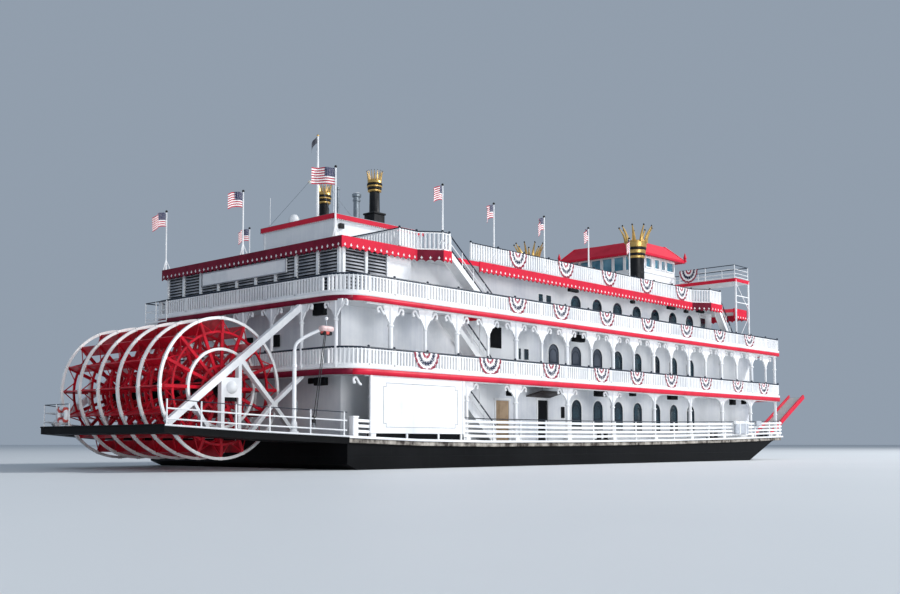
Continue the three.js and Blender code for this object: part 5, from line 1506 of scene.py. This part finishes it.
def bridge_wing():
    """Bridge wings: plate with a red edge, pipe rails, posts down to the decks and thin braces."""
    aft, forward, half = 51.1, 53.6, 9.15
    leg_line = 9.08
    plate = block((aft, -half, BRIDGE_DECK - SLAB), (forward, half, BRIDGE_DECK), BAND)
    line = [(aft + 0.1, -half + 0.1), (forward - 0.1, -half + 0.1), (forward - 0.1, half - 0.1),
            (aft + 0.1, half - 0.1)]
    made = []
    for height, radius in ((0.12, 0.03), (0.42, 0.022), (0.76, 0.022), (RAIL_HEIGHT, 0.035)):
        material = RAIL_DARK if height == RAIL_HEIGHT else WHITE
        path = [(s, y, BRIDGE_DECK + height) for s, y in line]
        made.append(bent([(aft + 0.1, -4, BRIDGE_DECK + height), *path, (aft + 0.1, 4, BRIDGE_DECK + height)],
                         radius, material))
    posts = [(forward - 0.1, y) for y in (-9.05, -6.7, -4.45, -2.2, 0, 2.2, 4.45, 6.7, 9.05)]
    posts += [(aft + 0.1, y) for y in (-9.05, -6.4, -4, 4, 6.4, 9.05)]
    for s, y in posts:
        made.append(upright((s, y), BRIDGE_DECK, BRIDGE_DECK + RAIL_HEIGHT, 0.035, WHITE, sides=8))
    legs = [upright((s, leg_line), THIRD_DECK, BRIDGE_DECK - 0.1, 0.08, WHITE)
            for s in (aft + 0.2, forward - 0.1)]
    legs.append(upright((forward - 0.35, 4), ROOF_DECK, BRIDGE_DECK - 0.1, 0.09, WHITE))
    for height in (0.55, 1.1):
        legs.append(pipe((aft + 0.2, leg_line, ROOF_DECK + height),
                         (forward - 0.1, leg_line, ROOF_DECK + height), 0.04, WHITE, sides=8))
    braces = [((forward - 0.1, leg_line, ROOF_DECK + 0.1), (aft + 0.2, leg_line, BRIDGE_DECK - 0.3)),
              ((aft + 0.2, leg_line, THIRD_DECK + 0.1), (forward - 0.1, leg_line, ROOF_DECK - 0.5))]
    for a, b in braces:
        legs.append(pipe(a, b, 0.025, WHITE, sides=6))
    wings = both_sides(joined("wing_legs", legs))
    dress(joined("bridge_wings", plate, made, wings), instead_of=["bridge_wing"])


# Davit, landing stage and deck fittings

def davit():
    """Davit: a stout post with a foot, a swan neck, a brace and its block."""
    s, y = 6.3, -8.0
    foot = deck_height(s)
    post = turned((s, y), ((0.26, foot + 0.02), (0.26, foot + 0.08), (0.17, foot + 0.14), (0.16, foot + 0.55),
                           (0.11, foot + 0.62), (0.1, 5.2), (0.13, 5.24), (0.13, 5.34), (0.1, 5.38),
                           (0.09, 6.1)), WHITE, sides=18)
    neck = bent([(s, y, 6.0), (s, y, 6.3), (s + 0.1, y - 0.04, 6.55), (s + 0.7, y - 0.32, 6.95),
                 (s + 1.5, y - 0.69, 7.32)], 0.085, WHITE, sides=12, flowing=True)
    tip = (s + 1.5, y - 0.69)
    eye = [upright(tip, 7.3, 7.72, 0.03, GALVANISED, sides=8), ball((*tip, 7.78), 0.1, WHITE)]
    block_shell = [pillar(tip, 0.42, 0.2, 7.1, 7.4, PALE_PINK, 0.12, 2),
                   pillar(tip, 0.3, 0.13, 6.96, 7.12, ORANGE, 0.05, 2)]
    sheave = [pipe((tip[0] + shift, tip[1] - 0.14, 7.02), (tip[0] + shift, tip[1] + 0.14, 7.02), 0.1,
                   STACK_BLACK, sides=16) for shift in (-0.2, 0.2)]
    cleat = [block((s + 0.08, y - 0.05, 3.2), (s + 0.2, y + 0.05, 3.3), GALVANISED, 0.02),
             upright((s + 0.18, y), 3.0, 3.5, 0.025, GALVANISED, sides=8)]
    dress(joined("davit_iron", post, neck, eye, block_shell, sheave, cleat), body="davit",
          instead_of=["davit"])
    s, y = tip[0] - 0.7, tip[1] + 0.1
    hook = [pillar((s, y), 0.08, 0.09, 2.42, 2.78, STACK_BLACK, 0.04, 2),
            bent([(s, y, 2.45), (s, y, 2.3), (s + 0.1, y, 2.2), (s, y, 2.1), (s - 0.09, y, 2.18)], 0.025,
                 GALVANISED, flowing=True)]
    dress(joined("davit_hook", hook), body="davit")
    for k, shift in enumerate((-0.04, 0.04)):
        fall(f"davit_fall_{k + 1}", at(tip[0] + shift, tip[1], 7.42), at(s + 2 * shift, y, 2.3), 0.011)


def fall(name, top, bottom, radius):
    """One part of the davit's fall: a rope that hangs straight between its two blocks."""
    rope = tube_curve(name, [top.lerp(bottom, k / 15) for k in range(16)], radius, 2)
    rope.data.materials.append(ROPE)
    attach(rope, "davit")
    return rope


# Hinge, half width and length of the landing stage, and how far it is raised in degrees
STAGE = {"s": 59.1, "y": -7.5, "z": 2.12, "half": 0.75, "length": 7.6, "raised": 27}


def landing_stage():
    """Landing stage: channel stringers, planking, cross bars, the hinge pin and a bar at its outer end."""
    s, y, z = STAGE["s"], STAGE["y"], STAGE["z"]
    made = []
    for sign in (-1, 1):
        inner, outer = y + sign * (STAGE["half"] - 0.1), y + sign * STAGE["half"]
        made.append(block((s - 0.05, inner, z - 0.08), (s + STAGE["length"], outer, z + 0.27), CRIMSON,
                          0.012))
        made.append(block((s, inner - sign * 0.06, z + 0.24), (s + STAGE["length"], outer, z + 0.29), CRIMSON,
                          0.012))
    plank = block((s + 0.15, y - 0.68, z + 0.02), (s + 0.33, y + 0.68, z + 0.07), DECK_GREY, 0.008)
    made.append(repeated(plank, 37, (0.2, 0, 0)))
    for shift in (0.2, 1.7, 3.2, 4.7, 6.2, STAGE["length"] - 0.15):
        made.append(pillar((s + shift, y), 0.06, 0.7, z - 0.07, z + 0.02, CRIMSON, 0.012))
    made.append(pipe((s, y - 0.92, z), (s, y + 0.92, z), 0.05, GALVANISED, sides=16))
    made.append(pipe((s + STAGE["length"] - 0.05, y - 0.72, z), (s + STAGE["length"] - 0.05, y + 0.72, z),
                     0.06, GALVANISED, sides=12))
    stage = joined("landing_stage", made)
    stage.data.transform(about((s, y, z), "Y", -STAGE["raised"]))
    dress(stage, body="stage", instead_of=["stage"])


# Black boxes under the upper decks (s and z, from and to) and floodlights under the roof (s, half width, z)
HANGING_BOXES = ((22.9, 23.65, 4.32, 4.78), (32.35, 33.6, 4.6, 5.0), (36.75, 37.15, 4.76, 5.0),
                 (41.93, 42.9, 4.67, 5.0), (51.65, 52.1, 4.52, 5.0), (53.7, 53.95, 4.63, 4.98),
                 (29.8, 30.9, 8.2, 8.66))
FLOODLIGHTS = ((29.98, 0.5, 11.66), (37.26, 0.2, 11.6), (42.59, 0.5, 11.66), (44.81, 0.2, 11.6),
               (46.99, 0.5, 11.8))


def deck_fittings():
    """Bitts, raft box, hanging boxes, floodlights and life ring."""
    bitts = []
    for s in (32.8, 48.2, 56.9):
        base = deck_height(s)
        bitts.append(block((s - 0.75, 8.3, base), (s + 0.75, 8.8, base + 0.08), STACK_BLACK, 0.02))
        for shift in (-0.4, 0.4):
            bitts.append(turned((s + shift, 8.55), ((0.16, base + 0.06), (0.15, base + 0.5),
                                                    (0.2, base + 0.53), (0.2, base + 0.6),
                                                    (0.12, base + 0.64)), STACK_BLACK, sides=16))
    dress(both_sides(joined("mooring_bitts", bitts)))
    base = deck_height(51)
    raft = [block((50.1, -9.56, base + 0.3), (52.3, -9.36, base + 1.12), RAFT_GREY, 0.08, 2),
            block((50.0, -9.6, base + 1.08), (52.4, -9.34, base + 1.34), WHITE, 0.08, 2)]
    raft += [block((s - 0.06, -9.61, base + 0.3), (s + 0.06, -9.34, base + 1.36), WHITE, 0.01)
             for s in (50.7, 51.7)]
    raft.append(block((53.8, -9.5, base + 1.0), (54.7, -9.34, base + 1.4), RAFT_GREY, 0.03))
    dress(joined("raft_box", raft))
    boxes = [block((s0, 8.15, z0), (s1, 8.55, z1), BLACK_AND_PAINTED_SHADE, 0.03) for s0, s1, z0, z1 in HANGING_BOXES]
    boxes += [block(((s0 + s1) / 2 - 0.04, 8.3, z1 - 0.05), ((s0 + s1) / 2 + 0.04, 8.4, z1 + 0.3), GALVANISED)
              for s0, s1, z0, z1 in HANGING_BOXES]
    for s, wide, z in FLOODLIGHTS:
        boxes.append(block((s - wide, 8.1, z - 0.11), (s + wide, 8.35, z + 0.11), BLACK_AND_PAINTED_SHADE, 0.03))
        boxes.append(block((s - 0.03, 8.13, z), (s + 0.03, 8.19, ROOF_DECK - SLAB), GALVANISED))
    boxes += [block((9.2, 5.9, 8.28), (9.5, 6.8, 8.98), BLACK_AND_PAINTED_SHADE, 0.03),
              block((9.4, 5.8, 4.5), (9.7, 6.7, 4.94), BLACK_AND_PAINTED_SHADE, 0.03),
              block((9.5, 5.2, 4.62), (9.7, 5.6, 4.94), BLACK_AND_PAINTED_SHADE, 0.02),
              block((HOUSE_AFT - 0.16, 0.9, 6.95), (HOUSE_AFT - 0.01, 1.65, 7.64), BLACK_AND_PAINTED_SHADE, 0.02)]
    dress(both_sides(joined("hanging_boxes", boxes)))
    ring = (0.02, 3.75, deck_height(0) + 0.62)
    clear()
    bpy.ops.mesh.primitive_torus_add(major_segments=36, minor_segments=10, major_radius=0.38 * SCALE,
                                     minor_radius=0.12 * SCALE, location=at(*ring),
                                     rotation=(0, math.pi / 2, 0))
    made = [smooth(settle(bpy.context.object, WHITE))]
    for turn in (45, 135, 225, 315):
        band = pillar(ring[:2], 0.128, 0.1, ring[2] + 0.25, ring[2] + 0.508, ORANGE, 0.03)
        band.data.transform(about(ring, "X", turn))
        made.append(band)
    made.append(upright((0.15, ring[1]), deck_height(0), ring[2] + 0.4, 0.03, WHITE, sides=8))
    dress(joined("life_ring", made))


# Flags and buntings

def cloth_grid(name, across, down, place, material):
    """A grid of cloth whose points are placed by their share across and down, and its UV map follows them."""
    clear()
    bpy.ops.mesh.primitive_grid_add(x_subdivisions=across, y_subdivisions=down, size=2, calc_uvs=True)
    cloth = bpy.context.object
    for vertex in cloth.data.vertices:
        vertex.co = place((vertex.co.x + 1) / 2, (vertex.co.y + 1) / 2)
    cloth.name = name
    cloth.data.name = name
    cloth.data.materials.append(material)
    choose(cloth)
    bpy.ops.object.shade_smooth()
    return cloth


FLAG_LONG = 1.5
FLAG_TALL = 0.9


def flag(name, s, y, top, phase, length=FLAG_LONG, tall=FLAG_TALL, heading=150, droop=0.25, material=FLAG):
    """A flag that streams aft from its pole in a few soft waves. Its cloth keeps its length."""
    steps = 24
    line = [(0.0, 0.0)]
    for k in range(steps):
        angle = 0.75 * math.sin(2 * math.pi * 1.35 * (k + 0.5) / steps + phase) * min(1, 3 * (k + 1) / steps)
        line.append((line[-1][0] + length / steps * math.cos(angle),
                     line[-1][1] + length / steps * math.sin(angle)))
    turn = math.radians(heading)

    def place(u, v):
        k = min(int(u * steps), steps - 1)
        share = u * steps - k
        out = line[k][0] + (line[k + 1][0] - line[k][0]) * share
        side = line[k][1] + (line[k + 1][1] - line[k][1]) * share
        side *= 0.55 + 0.45 * v
        fallen = -droop * out * out / length
        return at(s + out * math.cos(turn) - side * math.sin(turn),
                  y + out * math.sin(turn) + side * math.cos(turn), top - tall * (1 - v) + fallen)

    cloth = cloth_grid(name, steps, 12, place, material)
    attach(cloth, "ship")
    return cloth


def flags():
    """Flags on the stern poles, the side poles and the mast."""
    for k, (y, heading) in enumerate(zip(STERN_POLES, (158, 196, 204))):
        flag(f"stern_flag_{k + 1}", ROOF_AFT + 0.06, y, POLE_TOP - 0.1, 0.4 + 1.3 * k, heading=heading,
             droop=0.1 + 0.2 * k)
    phases = (0.9, 2.1, 3.4, 4.3, 5.2)
    for side, sign in SIDES.items():
        for k, ((s, y), phase) in enumerate(zip(SIDE_POLES, phases)):
            flag(f"side_flag_{side}_{k + 1}", s - 0.06, sign * y, POLE_TOP - 0.1, phase + sign,
                 length=1.25, tall=0.8, heading=196 + 3 * k, droop=0.45 + 0.1 * (k % 3))
    flag("mast_pennant", 14.44, 0, 20.4, 0.3, length=0.75, tall=0.4, heading=196, droop=1.4,
         material=NAVY_CLOTH)


FAN_HALF = 0.87
FAN_DROP = 1.12
FAN_PLEATS = 9


def fan(name, s, y, top, facing, half=FAN_HALF):
    """A pleated half-round bunting tied to a rail by its straight edge. facing is the way that it looks: -1
    to starboard, 1 to port and 0 astern."""
    def place(u, v):
        angle = math.pi * (u - 0.5)
        reach = 0.06 + 0.94 * v
        across = half * reach * math.sin(angle)
        down = FAN_DROP * reach * math.cos(angle) * (1 - 0.06 * abs(math.sin(FAN_PLEATS * angle)) * v)
        stand = 0.05 + 0.03 * v + 0.028 * v * math.cos(2 * FAN_PLEATS * angle)
        if facing:
            return at(s + across, y + facing * stand, top - down)
        return at(s - stand, y + across, top - down)

    cloth = cloth_grid(name, 54, 8, place, BUNTING)
    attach(cloth, "ship")
    return cloth


# Stations of the buntings on each rail
FANS_SECOND = (14.55, 20.0, 26.0, 31.6, 36.0, 40.6, 45.7, 50.9, 55.45)
FANS_THIRD = (22.6, 27.1, 32.3, 37.5, 42.9, 48.0, 53.0)
FANS_ROOF = (24.1, 29.2, 34.3, 39.2, 44.2)


def buntings():
    """Fans on the second, third and roof deck rails of both sides, and on the bridge wings."""
    rows = (("second", "deck_rail_second", FANS_SECOND, RAIL_LINE, SECOND_DECK + RAIL_HEIGHT),
            ("third", "deck_rail_third", FANS_THIRD, RAIL_LINE, THIRD_DECK + RAIL_HEIGHT),
            ("roof", "roof_rails", FANS_ROOF, ROOF_RAIL, ROOF_DECK + RAIL_HEIGHT))
    for side, sign in SIDES.items():
        for label, rail, stations, y, top in rows:
            for k, s in enumerate(stations):
                half = 1.0 if s < 20.5 else FAN_HALF
                fan(f"bunting_{label}_{side}_{k + 1}", s, sign * y, top, sign, half)
        fan(f"bunting_wing_{side}", 51.15, sign * 4.9, BRIDGE_DECK + RAIL_HEIGHT, 0)


hull_trim()
roof_deck()
window_row("main_windows", FIRST_WINDOW + BAY, 7, 2.3, 4.4)
window_row("curtained_windows", FIRST_WINDOW, 3, 6.1, 8.1, CURTAINED)
window_row("saloon_windows", FIRST_WINDOW + 3 * BAY, 5, 6.1, 8.1)
window_row("texas_windows", FIRST_WINDOW + BAY, 7, 10, 11.65)
small_windows()
doorways()
louvres()
second_deck_columns()
main_deck_columns()
deck_fascia(SECOND_DECK, 4.97, 5.29, "second")
deck_fascia(THIRD_DECK, 8.85, 9.13, "third")
deck_rail(SECOND_DECK, "second", True)
deck_rail(THIRD_DECK, "third", False)
stern_platform()
roof_rails()
main_rail()
bow_rail()
fantail_rails()
stairs()
wheel()
wheel_bearings()
stacks()
roof_house_trim()
pilothouse_roof()
pilothouse_trim()
bridge_wing()
davit()
landing_stage()
deck_fittings()
flags()
buntings()


# Studio: a pale floor at the waterline, a soft sky, a key light ahead of the starboard beam and the camera
def studio():
    """Floor, lights and camera."""
    clear()
    bpy.ops.mesh.primitive_plane_add(size=900, location=(0, 0, DRAFT * SCALE))
    floor = bpy.context.object
    floor.name = "studio_floor"
    material, tree, shader = new_material("pale_studio_floor", {"Roughness": 0.55})
    place = add_node(tree, "TexCoord")
    mottle = add_node(tree, "TexNoise", {"Scale": 0.15, "Detail": 5}, {"Vector": (place, "Object")})
    skin = blend_colours(tree, (mottle, "Fac"), "#D3D7DA", "#DADDDF")
    wire(tree, shader, skin)
    floor.data.materials.append(material)
    world = bpy.data.worlds.new("soft_sky")
    world.use_nodes = True
    world.node_tree.nodes["Background"].inputs["Color"].default_value = colour("#CFE0F4")
    world.node_tree.nodes["Background"].inputs["Strength"].default_value = 0.46
    bpy.context.scene.world = world
    bpy.context.scene.view_settings.view_transform = "Standard"
    for name, place, size, energy in (("key", (75, -62, 82), 16, 140000),
                                      ("bounce", (-22, -78, 9), 40, 34000)):
        clear()
        bpy.ops.object.light_add(type="AREA", location=place)
        light = bpy.context.object
        light.name = name
        light.data.size = size
        light.data.energy = energy
        light.rotation_euler = (Vector((0, 0, 3)) - light.location).to_track_quat("-Z", "Y").to_euler()


# Camera: place in the model's metres, level heading, upward pitch in degrees, lens and shift
CAMERA_PLACE = (-30.377, -25.0, 1.59)
CAMERA_HEADING = (0.7367, 0.6762)
CAMERA_PITCH = 3.3
CAMERA_LENS = 42.35
CAMERA_SHIFT = 0.0948


def camera():
    """The camera at the quay side of the stern, with a small upward shift."""
    clear()
    bpy.ops.object.camera_add(location=CAMERA_PLACE)
    viewer = bpy.context.object
    pitch = math.radians(CAMERA_PITCH)
    level = math.cos(pitch)
    ahead = Vector((CAMERA_HEADING[0] * level, CAMERA_HEADING[1] * level, math.sin(pitch)))
    viewer.rotation_euler = ahead.to_track_quat("-Z", "Y").to_euler()
    viewer.data.sensor_width = 36
    viewer.data.lens = CAMERA_LENS
    viewer.data.shift_y = CAMERA_SHIFT
    viewer.data.clip_end = 2000
    bpy.context.scene.camera = viewer


studio()
camera()
